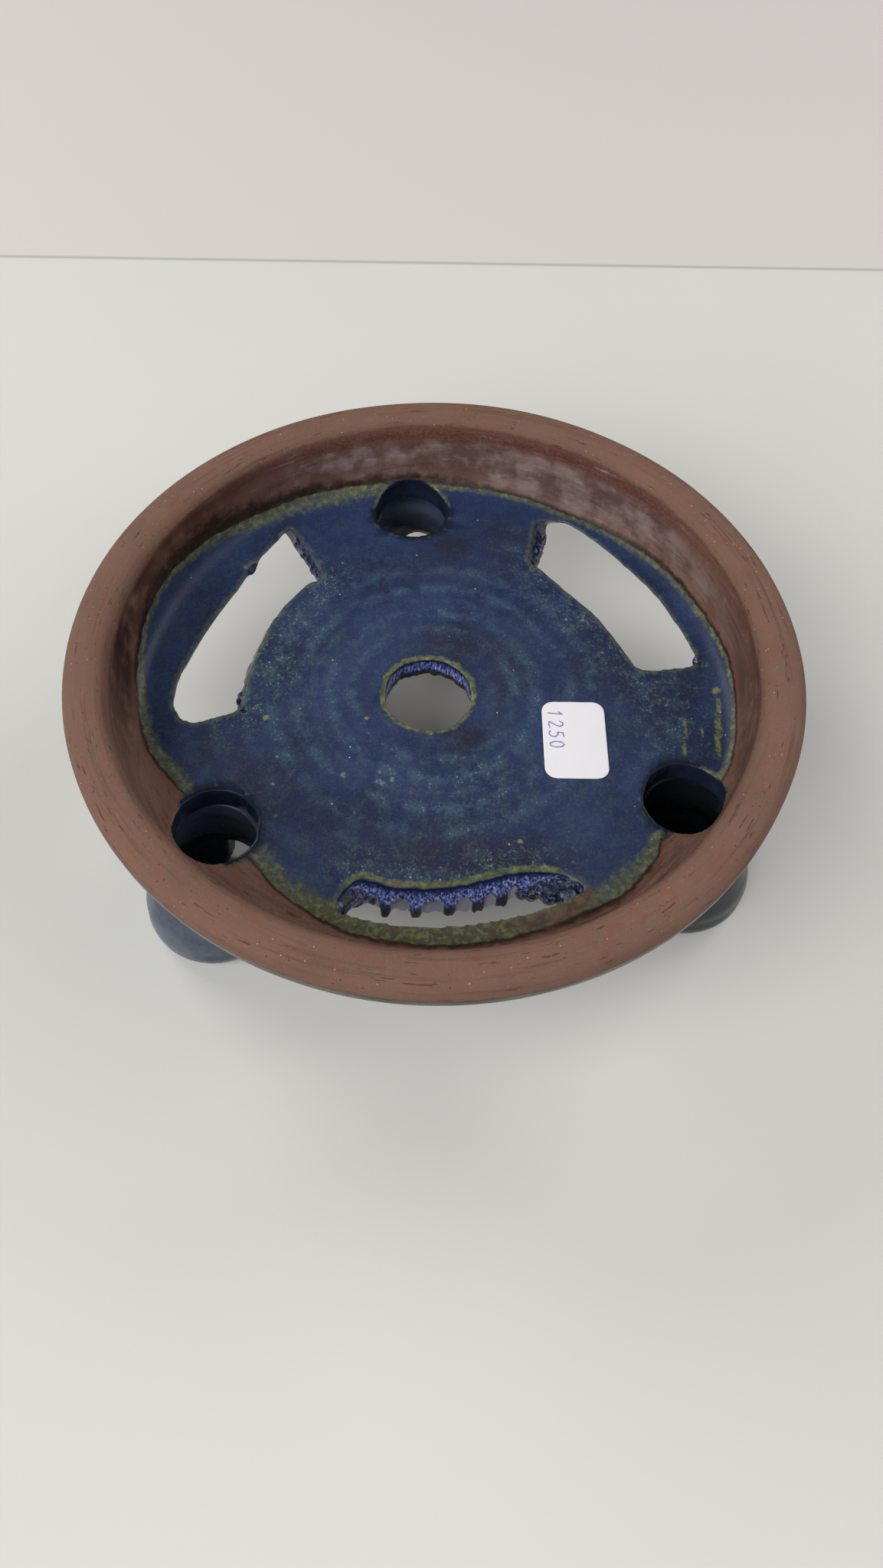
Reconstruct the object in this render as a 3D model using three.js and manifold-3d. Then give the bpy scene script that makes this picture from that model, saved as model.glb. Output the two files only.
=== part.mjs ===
// A low stoneware orchid pot, thrown on a wheel: a shallow dish with a broad rounded lip, whose
// floor is cut with curved drainage slots, and three hollow bulb feet luted on under it.
// The pot stands on its feet at z = 0, with +Z up, and the photograph looks from -Y.
import * as THREE from 'three';
import { mergeVertices } from 'three/addons/utils/BufferGeometryUtils.js';
import Module from 'manifold-3d';

const wasm = await Module();
wasm.setup();

// Driving dimensions of the dish, in millimetres.
const rimRadius = 80;
const lipWidth = 9.6;
const lipHeight = 9;
const lipUndercutAngle = 50;
const dishDepth = 19.5;
const floorThickness = 6.5;
const wallFlare = 7.4;
const wallFilletRadius = 6.5;
const wallThickness = 6.2;
const baseInset = 3;

// Drainage slots, cut by hand between two knife lines that aren't quite concentric with the rim.
const slotOuterInset = 4;
const slotWidth = 13;
const slotCorner = 3.5;
const slotUndercut = 2.4;
const innerKnifeOffset = new THREE.Vector2(1.8, -1.8);
const outerKnifeOffset = new THREE.Vector2(2.8, 2.2);
const slotSpans = [
  [11.4, 67],
  [127, 189.5],
  [252, 304.5],
];

// The hole in the middle, and the holes over the feet.
const centreHoleRadius = 10;
const centreHole = new THREE.Vector2(-1.6, 1.5);
const footHoleRadius = 9;

// Feet: hollow bulbs, open at the bottom, each with a small arched notch that lets water out.
// Their holes were cut by eye, and the front two feet splay outwards a little as they go down.
const footHeight = 27.5;
const footOffset = 2;
const bulbRadius = 16;
const bulbHeight = 6;
const contactRadius = 12.4;
const footWall = 3.6;
const waistRadius = 13;
const waistDrop = 6;
const jointFlare = 1.2;
const neckBoreClearance = 1;
const archWidth = 9;
const archHeight = 12;
const feet = [
  { name: 'foot_back', azimuth: 98, holeInset: 3, splay: 0, archTurn: 80 },
  { name: 'foot_left', azimuth: 218.4, holeInset: 4.9, splay: 2.3, archTurn: 65 },
  { name: 'foot_right', azimuth: 336.6, holeInset: 2.5, splay: 3.1, archTurn: 160 },
];

// The paper price sticker that lies on the floor.
const stickerWidth = 14.3;
const stickerLength = 20.8;
const stickerCorner = 2.8;
const stickerThickness = 0.2;
const stickerInset = 12.7;
const stickerAzimuth = -17;
const stickerTurn = 2.1;

// Facets and small working lengths.
const dishSides = 72;
const footSides = 28;
const holeSides = 24;
const stepsPerCurve = 3;
const degreesPerSlotStep = 5;
const overrun = 2;
const jointGap = 0.3;
const weldDistance = 1e-4;

// Heights and radii that follow from the driving dimensions.
const floorTop = footHeight + floorThickness;
const lipTop = floorTop + dishDepth;
const lipCentreRadius = rimRadius - lipWidth / 2;
const lipCentreHeight = lipTop - lipHeight / 2;
const lipInnerRadius = rimRadius - lipWidth;
const floorRadius = lipInnerRadius - wallFlare;
const wallFootRadius = floorRadius + wallFilletRadius;
const baseRadius = floorRadius - baseInset;
const slotOuterRadius = floorRadius - slotOuterInset;
const slotInnerRadius = slotOuterRadius - slotWidth;
const neckBoreRadius = footHoleRadius + neckBoreClearance;
const stickerPolar = slotInnerRadius - stickerInset;

const darkGlaze = new THREE.Color(0x1d2233);
const blueGlaze = new THREE.Color(0x30385a);
const paperWhite = new THREE.Color(0xe9e7e2);

function glazeMaterial(colour) {
  return new THREE.MeshStandardMaterial({ color: colour, roughness: 0.22, metalness: 0 });
}

// A closed geometry as a solid that can be joined and cut.
function solidOf(geometry) {
  const bare = new THREE.BufferGeometry();
  bare.setAttribute('position', geometry.getAttribute('position'));
  bare.setIndex(geometry.getIndex());
  const welded = mergeVertices(bare, weldDistance);
  const corners = welded.getIndex().array;
  const triVerts = [];
  for (let i = 0; i < corners.length; i += 3) {
    const [a, b, c] = corners.slice(i, i + 3);
    if (a !== b && b !== c && c !== a) {
      triVerts.push(a, b, c);
    }
  }
  return new wasm.Manifold(new wasm.Mesh({
    numProp: 3,
    vertProperties: new Float32Array(welded.getAttribute('position').array),
    triVerts: new Uint32Array(triVerts),
  }));
}

// A solid back as a named mesh.
function meshOf(name, solid, material) {
  const { vertProperties, triVerts } = solid.getMesh();
  const geometry = new THREE.BufferGeometry();
  geometry.setAttribute('position', new THREE.BufferAttribute(vertProperties, 3));
  geometry.setIndex(new THREE.BufferAttribute(triVerts, 1));
  geometry.computeVertexNormals();
  const mesh = new THREE.Mesh(geometry, material);
  mesh.name = name;
  return mesh;
}

// A profile of radius and height, turned about the Z axis.
function turned(profile, sides) {
  const geometry = new THREE.LatheGeometry(profile.getPoints(stepsPerCurve), sides);
  return geometry.rotateX(Math.PI / 2);
}

// The outside of the dish from the edge of its base to the crest of its lip. Grown by a gap,
// it is also what trims the necks of the feet.
function drawOutside(profile, grow) {
  const undercut = -THREE.MathUtils.degToRad(lipUndercutAngle);
  const halfWidth = lipWidth / 2 + grow;
  const halfHeight = lipHeight / 2 + grow;
  const throat = new THREE.Vector2(
    lipCentreRadius + halfWidth * Math.cos(undercut),
    lipCentreHeight + halfHeight * Math.sin(undercut),
  );
  const shoulder = new THREE.Vector2(wallFootRadius + wallThickness + grow, floorTop - grow);
  profile.lineTo(baseRadius + grow, footHeight - grow);
  profile.bezierCurveTo(
    wallFootRadius + grow, footHeight - grow,
    shoulder.x - wallThickness / 2, shoulder.y - floorThickness / 2,
    shoulder.x, shoulder.y + wallFilletRadius / 2,
  );
  profile.lineTo(throat.x, throat.y);
  profile.absellipse(lipCentreRadius, lipCentreHeight, halfWidth, halfHeight, undercut, Math.PI / 2, false);
}

function dishBody() {
  const profile = new THREE.Path();
  profile.moveTo(0, footHeight);
  drawOutside(profile, 0);
  profile.absellipse(
    lipCentreRadius, lipCentreHeight, lipWidth / 2, lipHeight / 2, Math.PI / 2, Math.PI, false,
  );
  profile.lineTo(wallFootRadius, floorTop + wallFilletRadius);
  profile.quadraticCurveTo(wallFootRadius, floorTop, floorRadius, floorTop);
  profile.lineTo(0, floorTop);
  return solidOf(turned(profile, dishSides));
}

// The space that the dish takes up, with its inside filled and a gap all round.
function dishEnvelope() {
  const profile = new THREE.Path();
  profile.moveTo(0, footHeight - jointGap);
  drawOutside(profile, jointGap);
  profile.lineTo(0, lipTop + jointGap);
  return solidOf(turned(profile, dishSides));
}

// The point of a knife line, an off-centre circle, at an angle seen from the pot's middle.
function onKnifeLine(radius, offset, angle) {
  const direction = new THREE.Vector2(Math.cos(angle), Math.sin(angle));
  const along = offset.dot(direction);
  const reach = along + Math.sqrt(radius ** 2 - offset.lengthSq() + along ** 2);
  return direction.multiplyScalar(reach);
}

function slotCutter([fromDegrees, toDegrees]) {
  const from = THREE.MathUtils.degToRad(fromDegrees);
  const to = THREE.MathUtils.degToRad(toDegrees);
  const inner = (angle) => onKnifeLine(slotInnerRadius, innerKnifeOffset, angle);
  const outer = (angle) => onKnifeLine(slotOuterRadius, outerKnifeOffset, angle);
  const innerTurn = slotCorner / slotInnerRadius;
  const outerTurn = slotCorner / slotOuterRadius;
  const steps = Math.ceil((toDegrees - fromDegrees) / degreesPerSlotStep);
  const sweep = (line, start, end) => {
    const points = [];
    for (let i = 0; i <= steps; i += 1) {
      points.push(line(THREE.MathUtils.lerp(start, end, i / steps)));
    }
    return points;
  };
  const cornerTo = (shape, corner, next) => shape.quadraticCurveTo(corner.x, corner.y, next.x, next.y);
  const along = (a, b) => b.clone().sub(a).setLength(slotCorner).add(a);

  const innerEdge = sweep(inner, to - innerTurn, from + innerTurn);
  const outerEdge = sweep(outer, from + outerTurn, to - outerTurn);
  const shape = new THREE.Shape();
  shape.setFromPoints(outerEdge);
  cornerTo(shape, outer(to), along(outer(to), inner(to)));
  shape.lineTo(along(inner(to), outer(to)).x, along(inner(to), outer(to)).y);
  cornerTo(shape, inner(to), innerEdge[0]);
  innerEdge.slice(1).forEach((point) => shape.lineTo(point.x, point.y));
  cornerTo(shape, inner(from), along(inner(from), outer(from)));
  shape.lineTo(along(outer(from), inner(from)).x, along(outer(from), inner(from)).y);
  cornerTo(shape, outer(from), outerEdge[0]);

  const depth = floorThickness + 2 * overrun;
  const geometry = new THREE.ExtrudeGeometry(shape, { depth, bevelEnabled: false, curveSegments: 4 });
  leanCut(geometry, depth - overrun);
  geometry.translate(0, 0, footHeight - overrun);
  return solidOf(geometry);
}

// The knife leaned as it cut, so both sides of a slot run outwards as they go down.
function leanCut(geometry, topOfFloor) {
  const position = geometry.getAttribute('position');
  const lean = slotUndercut / floorThickness;
  for (let i = 0; i < position.count; i += 1) {
    const radius = Math.hypot(position.getX(i), position.getY(i));
    const stretch = 1 + lean * (topOfFloor - position.getZ(i)) / radius;
    position.setX(i, position.getX(i) * stretch);
    position.setY(i, position.getY(i) * stretch);
  }
}

function roundCutter(centre, radius) {
  const height = lipTop - footHeight + 2 * overrun;
  const geometry = new THREE.CylinderGeometry(radius, radius, height, holeSides);
  geometry.rotateX(Math.PI / 2);
  geometry.translate(centre.x, centre.y, footHeight - overrun + height / 2);
  return solidOf(geometry);
}

function polarPoint(radius, degrees) {
  return new THREE.Vector2(radius, 0).rotateAround(new THREE.Vector2(), THREE.MathUtils.degToRad(degrees));
}

function makeBowl() {
  let bowl = dishBody().subtract(roundCutter(centreHole, centreHoleRadius));
  for (const span of slotSpans) {
    bowl = bowl.subtract(slotCutter(span));
  }
  for (const { azimuth, holeInset } of feet) {
    bowl = bowl.subtract(roundCutter(polarPoint(floorRadius - holeInset, azimuth), footHoleRadius));
  }
  return meshOf('bowl', bowl, glazeMaterial(blueGlaze));
}

// A hollow bulb that narrows to a waist and flares again where it meets the dish. Its neck
// runs up past the underside, for the dish to trim.
function bulb() {
  const waistHeight = footHeight - waistDrop;
  const neckTop = lipTop - lipHeight;
  const neckRadius = waistRadius + jointFlare;
  const inside = (radius) => radius - footWall;
  const shelfHeight = footHeight - floorThickness / 2;
  const profile = new THREE.Path();
  profile.moveTo(inside(contactRadius), 0);
  profile.lineTo(contactRadius, 0);
  profile.quadraticCurveTo(bulbRadius, 0, bulbRadius, bulbHeight);
  profile.bezierCurveTo(
    bulbRadius, (bulbHeight + waistHeight) / 2,
    waistRadius, (bulbHeight + waistHeight) / 2,
    waistRadius, waistHeight,
  );
  profile.quadraticCurveTo(waistRadius, footHeight - jointFlare, neckRadius, footHeight);
  profile.lineTo(neckRadius, neckTop);
  profile.lineTo(neckBoreRadius, neckTop);
  profile.lineTo(neckBoreRadius, shelfHeight);
  profile.lineTo(inside(waistRadius), waistHeight);
  profile.bezierCurveTo(
    inside(waistRadius), (bulbHeight + waistHeight) / 2,
    inside(bulbRadius), (bulbHeight + waistHeight) / 2,
    inside(bulbRadius), bulbHeight,
  );
  profile.quadraticCurveTo(inside(bulbRadius), footWall / 2, inside(contactRadius), 0);
  return turned(profile, footSides);
}

// A round-topped tunnel from the foot's middle out through its wall, towards +X.
function archCutter() {
  const half = archWidth / 2;
  const shape = new THREE.Shape();
  shape.moveTo(-half, -overrun);
  shape.lineTo(half, -overrun);
  shape.lineTo(half, archHeight - half);
  shape.absarc(0, archHeight - half, half, 0, Math.PI, false);
  shape.closePath();
  const depth = bulbRadius + overrun;
  const geometry = new THREE.ExtrudeGeometry(shape, { depth, bevelEnabled: false, curveSegments: 8 });
  geometry.rotateX(Math.PI / 2);
  geometry.rotateZ(Math.PI / 2);
  return geometry;
}

// A foot's neck sits a little outside its hole, and its contact ring lies further out by the splay.
function makeFoot({ name, azimuth, holeInset, splay, archTurn }, envelope) {
  const neckPolar = floorRadius - holeInset + footOffset;
  const ring = polarPoint(neckPolar + splay, azimuth);
  const lean = polarPoint(-splay / footHeight, azimuth);
  const stand = new THREE.Matrix4()
    .makeShear(0, 0, 0, 0, lean.x, lean.y)
    .setPosition(ring.x, ring.y, 0);
  const arch = archCutter().rotateZ(THREE.MathUtils.degToRad(archTurn));
  const foot = solidOf(bulb().applyMatrix4(stand))
    .subtract(solidOf(arch.applyMatrix4(stand)))
    .subtract(envelope);
  return meshOf(name, foot, glazeMaterial(darkGlaze));
}

function makeSticker() {
  const halfWidth = stickerWidth / 2;
  const halfLength = stickerLength / 2;
  const shape = new THREE.Shape();
  shape.absarc(halfWidth - stickerCorner, halfLength - stickerCorner, stickerCorner, 0, Math.PI / 2);
  shape.absarc(stickerCorner - halfWidth, halfLength - stickerCorner, stickerCorner, Math.PI / 2, Math.PI);
  shape.absarc(stickerCorner - halfWidth, stickerCorner - halfLength, stickerCorner, Math.PI, 1.5 * Math.PI);
  shape.absarc(halfWidth - stickerCorner, stickerCorner - halfLength, stickerCorner, 1.5 * Math.PI, 2 * Math.PI);
  const geometry = new THREE.ExtrudeGeometry(
    shape, { depth: stickerThickness, bevelEnabled: false, curveSegments: 6 },
  );
  const material = new THREE.MeshStandardMaterial({ color: paperWhite, roughness: 0.7, metalness: 0 });
  const sticker = new THREE.Mesh(geometry, material);
  sticker.name = 'price_sticker';
  const centre = polarPoint(stickerPolar, stickerAzimuth);
  sticker.position.set(centre.x, centre.y, floorTop);
  sticker.rotation.z = THREE.MathUtils.degToRad(stickerTurn);
  return sticker;
}

const pot = new THREE.Group();
const envelope = dishEnvelope();
pot.add(makeBowl());
for (const foot of feet) {
  pot.add(makeFoot(foot, envelope));
}
pot.add(makeSticker());

export default pot;
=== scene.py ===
# %% [markdown]
# A low stoneware orchid pot
#
# This lesson builds the looks of a hand-thrown pot around a CAD model of it. The pot is a shallow dish
# with a broad bare lip and a deep blue glaze, which stands on three hollow bulb feet. Slots and holes
# are cut through its floor, and a paper sticker lies on it. The CAD model fixes the sizes. Blender adds
# what a potter's hands and the kiln add: throwing rings, ragged knife cuts, runs and breaks of glaze.

# %% Load the frame
import math

import bmesh
import bpy
import numpy as np
from mathutils import Matrix, Vector, kdtree, noise


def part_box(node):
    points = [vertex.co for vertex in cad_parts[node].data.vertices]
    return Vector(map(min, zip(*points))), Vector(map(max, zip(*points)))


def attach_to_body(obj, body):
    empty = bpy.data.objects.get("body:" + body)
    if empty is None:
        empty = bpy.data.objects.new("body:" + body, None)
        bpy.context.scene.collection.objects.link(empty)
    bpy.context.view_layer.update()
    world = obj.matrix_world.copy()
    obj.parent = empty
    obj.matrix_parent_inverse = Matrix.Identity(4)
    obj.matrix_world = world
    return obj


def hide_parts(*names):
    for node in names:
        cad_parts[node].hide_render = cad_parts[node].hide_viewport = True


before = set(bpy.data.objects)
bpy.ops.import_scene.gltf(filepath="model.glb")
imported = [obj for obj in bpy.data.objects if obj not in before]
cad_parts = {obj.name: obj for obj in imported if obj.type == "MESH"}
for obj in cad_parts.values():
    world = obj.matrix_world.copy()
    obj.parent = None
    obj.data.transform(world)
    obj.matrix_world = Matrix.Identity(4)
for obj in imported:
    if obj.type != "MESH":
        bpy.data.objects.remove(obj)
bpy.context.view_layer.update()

# %% [markdown]
# Units and small helpers
#
# A potter thinks in millimetres, so every size below is in millimetres, and a finished mesh is scaled
# to metres once, at the end. Colours are written as the 0 to 255 values that a paint program shows.

# %% Units, colours and directions
MM = 0.001


def srgb(red, green, blue):
    def linear(value):
        value /= 255
        return value / 12.92 if value < 0.04045 else ((value + 0.055) / 1.055) ** 2.4
    return (linear(red), linear(green), linear(blue), 1.0)


def polar(degrees, radius):
    return np.array([math.cos(math.radians(degrees)), math.sin(math.radians(degrees))]) * radius


def smooth_step(value, low, high):
    share = np.clip((value - low) / (high - low), 0, 1)
    return share * share * (3 - 2 * share)


def bell(value, centre, width):
    return np.exp(-((value - centre) / width) ** 2)


def turn_between(a, b):
    """The angle from b to a in degrees, from -180 to 180."""
    return (a - b + 180) % 360 - 180


def round_the_pot(knots):
    """A function of direction that passes smoothly through (degrees, value) knots, all the way round."""
    angles, values = (np.array(column, float) for column in zip(*sorted(knots)))
    angles = np.concatenate([angles - 360, angles, angles + 360])
    values = np.tile(values, 3)
    return lambda degrees: np.interp(degrees, angles, values)


# %% [markdown]
# Sizes from the frame
#
# The dish's box gives the rim's radius, the height of the lip and the underside of the floor. The floor's
# thickness and the lip's roll are the two sizes that a box can't give, so they are named here.

# %% Sizes of the dish
dish_low, dish_high = (np.array(corner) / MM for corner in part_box("bowl"))
MARGIN = 0.05  # keeps the hand-made bumps inside the CAD box
RIM = dish_high[0] - MARGIN
LIP_TOP = dish_high[2]
UNDERSIDE = dish_low[2]
FLOOR_THICKNESS = 6.5
FLOOR_TOP = UNDERSIDE + FLOOR_THICKNESS
LIP_WIDTH = 9.6
LIP_HEIGHT = 9.0
FLOOR_RADIUS = 63.0
FILLET = 6.5
WALL_THICKNESS = 6.2
BASE_RADIUS = 60.0
LIP_MIDDLE = (RIM - LIP_WIDTH / 2, LIP_TOP - LIP_HEIGHT / 2)
print(f"rim radius {RIM:.1f}, floor at {FLOOR_TOP:.1f}, lip at {LIP_TOP:.1f} mm")

# %% [markdown]
# The camera
#
# The photograph was taken from above the near edge, looking down at about 58 degrees, with the phone
# turned a little. The camera's place, tilt and lens were fitted to the pot's own circles.

# %% Camera
CAMERA_PLACE = (2.3, -161.1, 252.5)
CAMERA_PITCH = 57.74
CAMERA_ROLL = 2.48
LENS = 27.12

pitch = math.radians(CAMERA_PITCH)
roll = math.radians(CAMERA_ROLL)
ahead = Vector((0, math.cos(pitch), -math.sin(pitch)))
level_right = Vector((1, 0, 0))
level_up = level_right.cross(ahead)
right = math.cos(roll) * level_right + math.sin(roll) * level_up
up = math.cos(roll) * level_up - math.sin(roll) * level_right
camera = bpy.data.objects.new("camera", bpy.data.cameras.new("camera"))
bpy.context.scene.collection.objects.link(camera)
camera.matrix_world = (
    Matrix.Translation(Vector(CAMERA_PLACE) * MM) @ Matrix((right, up, -ahead)).transposed().to_4x4()
)
camera.data.lens = LENS
camera.data.sensor_width = 36
camera.data.clip_start = 0.01
bpy.context.scene.camera = camera
bpy.context.scene.view_settings.view_transform = "Standard"
print("camera at", tuple(round(v, 3) for v in camera.location), "m")

# %% [markdown]
# The profile of the dish
#
# A thrown pot is its profile turned round an axis, as a lathe would turn it. The profile starts under the
# middle of the floor, runs out along the base, up the flared wall, round the lip's roll, down the inside
# and back to the middle of the floor. The lip's roll is a superellipse, because the photograph shows a
# band that is flatter than a true round. The points are kept, since later they tell how far along the
# profile each place on the pot is.

# %% Profile points
LIP_SQUARENESS = 3.0
UNDERCUT = -50.0


def curve(points, steps):
    """Points along a Bezier curve with three or four control points, without its first point."""
    degree = len(points) - 1
    t = np.linspace(0, 1, steps + 1)[1:, None]
    return sum(
        math.comb(degree, k) * (1 - t) ** (degree - k) * t ** k * np.array(point)
        for k, point in enumerate(points)
    )


def straight(start, end, steps):
    return np.linspace(start, end, steps + 1)[1:]


def lip_roll(start, end, steps):
    angle = np.radians(np.linspace(start, end, steps + 1))
    power = 2 / LIP_SQUARENESS
    across = np.sign(np.cos(angle)) * np.abs(np.cos(angle)) ** power
    upward = np.sign(np.sin(angle)) * np.abs(np.sin(angle)) ** power
    return np.column_stack([
        LIP_MIDDLE[0] + LIP_WIDTH / 2 * across,
        LIP_MIDDLE[1] + LIP_HEIGHT / 2 * upward,
    ])


wall_foot = FLOOR_RADIUS + FILLET
shoulder = (wall_foot + WALL_THICKNESS - 0.3, FLOOR_TOP + FILLET / 2)
roll_points = lip_roll(UNDERCUT, 180, 56)
profile = np.vstack([
    [(0, UNDERSIDE)],
    straight((0, UNDERSIDE), (BASE_RADIUS - 1, UNDERSIDE), 40),
    curve([(BASE_RADIUS - 1, UNDERSIDE), (wall_foot, UNDERSIDE), (shoulder[0] - 3.1, shoulder[1] - 6.5),
           shoulder], 16),
    straight(shoulder, roll_points[0], 6),
    roll_points[1:],
    straight(roll_points[-1], (wall_foot, FLOOR_TOP + FILLET), 8),
    curve([(wall_foot, FLOOR_TOP + FILLET), (wall_foot, FLOOR_TOP), (FLOOR_RADIUS, FLOOR_TOP)], 12),
    straight((FLOOR_RADIUS, FLOOR_TOP), (0, FLOOR_TOP), 42),
])
print(len(profile), "profile points")

# %% [markdown]
# Turning a profile
#
# The spin operator turns the profile's edges round Z in equal steps, and with use_merge its last copy
# joins the first. The points on the axis collapse into one each, so doubles are merged, and then the
# normals are recalculated because the direction of a spin can turn a shape inside out.

# %% Helpers that make meshes
def turned(points, steps):
    bm = bmesh.new()
    corners = [bm.verts.new((radius, 0, height)) for radius, height in points]
    for a, b in zip(corners, corners[1:]):
        bm.edges.new((a, b))
    bmesh.ops.spin(
        bm, geom=bm.verts[:] + bm.edges[:], axis=(0, 0, 1), cent=(0, 0, 0), angle=math.tau,
        steps=steps, use_merge=True,
    )
    bmesh.ops.remove_doubles(bm, verts=bm.verts[:], dist=1e-4)
    bmesh.ops.recalc_face_normals(bm, faces=bm.faces[:])
    return bm


def as_object(bm, name):
    mesh = bpy.data.meshes.new(name)
    bm.to_mesh(mesh)
    bm.free()
    made = bpy.data.objects.new(name, mesh)
    bpy.context.scene.collection.objects.link(made)
    return made


def settle(made):
    """Applies an object's modifiers to its mesh."""
    depsgraph = bpy.context.evaluated_depsgraph_get()
    mesh = bpy.data.meshes.new_from_object(made.evaluated_get(depsgraph))
    made.modifiers.clear()
    made.data = mesh
    return made


def cut(body, cutter):
    """Takes one solid out of another and throws the cutter away."""
    step = body.modifiers.new("cut", "BOOLEAN")
    step.operation = "DIFFERENCE"
    step.solver = "MANIFOLD"
    step.object = cutter
    settle(body)
    bpy.data.objects.remove(cutter)


dish = as_object(turned(profile, 160), "dish")
print("turned dish:", len(dish.data.polygons), "faces")

# %% [markdown]
# Slots cut by hand
#
# Each slot was cut with a knife while the clay was firm: two long curves that more or less follow the
# rim, and two ends. An outline is a closed smooth curve through a few points, each given as a direction
# and a distance from the middle of the pot. Two points close together make a sharp corner.

# %% Slot outlines
SLOTS = {
    "left": [
        (186.5, 58.6), (183, 59.4), (176, 58.9), (166, 57.5), (156, 57.2), (147, 57.9), (139, 60.2),
        (131, 62.4), (127.6, 63.9), (126.9, 63.6), (127.0, 60.0), (127.6, 52.0), (129.2, 46.2),
        (130.4, 45.6), (134, 46.5), (144, 45.6), (155, 44.6), (165, 43.6), (176, 43.8), (184, 43.9),
        (186.5, 44.9), (188.8, 50.0), (189.5, 54.0), (188.8, 57.0),
    ],
    "right": [
        (67.2, 61.8), (63.5, 64.0), (60, 64.7), (52, 63.5), (44, 62.7), (32, 62.5), (20, 62.5),
        (14.0, 62.8), (12.5, 62.3), (12.2, 60.0), (12.3, 54.0), (12.9, 50.0), (14.6, 48.2), (18, 47.4),
        (26, 46.7), (36, 46.4), (46, 46.2), (54, 47.0), (60.5, 48.2), (63.0, 48.3), (64.4, 50.3),
        (66.2, 56.0), (67.4, 60.5),
    ],
    "front": [
        (251.6, 57.3), (256, 57.6), (265, 57.4), (275, 57.2), (284, 57.0), (292, 57.3), (300, 57.7),
        (304.2, 57.6), (305.0, 56.2), (304.3, 54.2), (302.2, 51.4), (298.5, 49.0), (293, 47.4),
        (287, 47.0), (280, 47.5), (271, 48.1), (262, 48.5), (257, 48.2), (254.6, 48.2), (252.8, 49.4),
        (251.3, 52.2), (250.8, 55.6),
    ],
}


def through(points, steps):
    """A closed Catmull-Rom curve through the points, with the same number of steps between each two."""
    points = np.array(points)
    before, after, beyond = np.roll(points, 1, 0), np.roll(points, -1, 0), np.roll(points, -2, 0)
    t = (np.arange(steps) / steps)[None, :, None]
    p0, p1, p2, p3 = (p[:, None, :] for p in (before, points, after, beyond))
    made = 0.5 * (
        2 * p1 + (p2 - p0) * t + (2 * p0 - 5 * p1 + 4 * p2 - p3) * t ** 2
        + (3 * p1 - p0 - 3 * p2 + p3) * t ** 3
    )
    return made.reshape(-1, 2)


def hand_wobble(outline, size, amount, seed):
    """Moves an outline's points a little, as an unsteady hand does."""
    shift = [
        (noise.noise((x / size, y / size, seed)), noise.noise((x / size, y / size, seed + 9)))
        for x, y in outline
    ]
    return outline + amount * np.array(shift)


def outline_area(outline):
    x, y = outline.T
    return 0.5 * np.sum(x * np.roll(y, -1) - np.roll(x, -1) * y)


slot_outlines = {
    name: hand_wobble(through([polar(*point) for point in points], 6), 2.5, 0.25, 3.7)
    for name, points in SLOTS.items()
}
for name, outline in slot_outlines.items():
    print(f"{name} slot: {abs(outline_area(outline)):.0f} mm2")

# %% [markdown]
# Round holes
#
# The middle hole and the three holes over the feet were cut with a hole cutter, then wiped, so they are
# nearly round. The same wobble makes them a little uneven.

# %% Hole outlines
HOLES = {
    "middle": ((-1.6, 1.5), 10.0),
    "back": (polar(98, 60), 9.0),
    "left": (polar(218.4, 58.1), 9.0),
    "right": (polar(336.6, 60.5), 9.0),
}


def hole_outline(centre, radius, seed):
    angle = np.linspace(0, math.tau, 72, endpoint=False)
    ring = np.column_stack([np.cos(angle), np.sin(angle)]) * radius + np.array(centre)
    return hand_wobble(ring, 6.0, 0.55, seed)


hole_outlines = {
    name: hole_outline(*hole, seed) for seed, (name, hole) in enumerate(HOLES.items())
}

# %% [markdown]
# Cutting the floor
#
# Every outline becomes a face, and extruding it downwards makes the cutter. The potter's knife leaned
# over, so the slots' cutters are pushed outwards as they go down. The lean is a slope, millimetres
# outwards for each one down, and it changes round the pot and from a slot's inner side to its outer one.
# Above the floor the round cutters tilt inwards, so that they don't bite far up the wall. The cutters
# don't touch each other, so they go into one object, and one boolean takes them all out.

# %% Cut the slots and holes
CUTTER_TOP = FLOOR_TOP + 9.0
CUTTER_BOTTOM = UNDERSIDE - 3.0
HOLE_TAPER = 0.3
INNER_LEAN = round_the_pot([
    (190, 0.37), (130, 0.37), (67, 0.37), (12, 0.37), (-53, 0.55), (-75, 0.75), (-110, 0.74),
])
OUTER_LEAN = round_the_pot([
    (190, 0.35), (175, 0.42), (160, 0.52), (145, 0.66), (128, 0.78), (67, 1.0), (58, 1.0), (45, 0.87),
    (20, 0.62), (8, 0.5), (-53, 0.4), (-110, 0.4),
])


def knife_slope(x, y):
    """How far a cut that starts at x, y moves sideways for each millimetre that it goes down."""
    radius = np.maximum(np.hypot(x, y), 1)
    direction = np.degrees(np.arctan2(y, x))
    outer = smooth_step(radius, 50, 56)
    lean = INNER_LEAN(direction) * (1 - outer) + OUTER_LEAN(direction) * outer
    far_end = 0.3 * (1 - smooth_step(x, 25, 32)) * smooth_step(x, 16, 20) * smooth_step(y, 38, 42)
    return np.column_stack([lean * x / radius + far_end, lean * y / radius])


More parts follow.
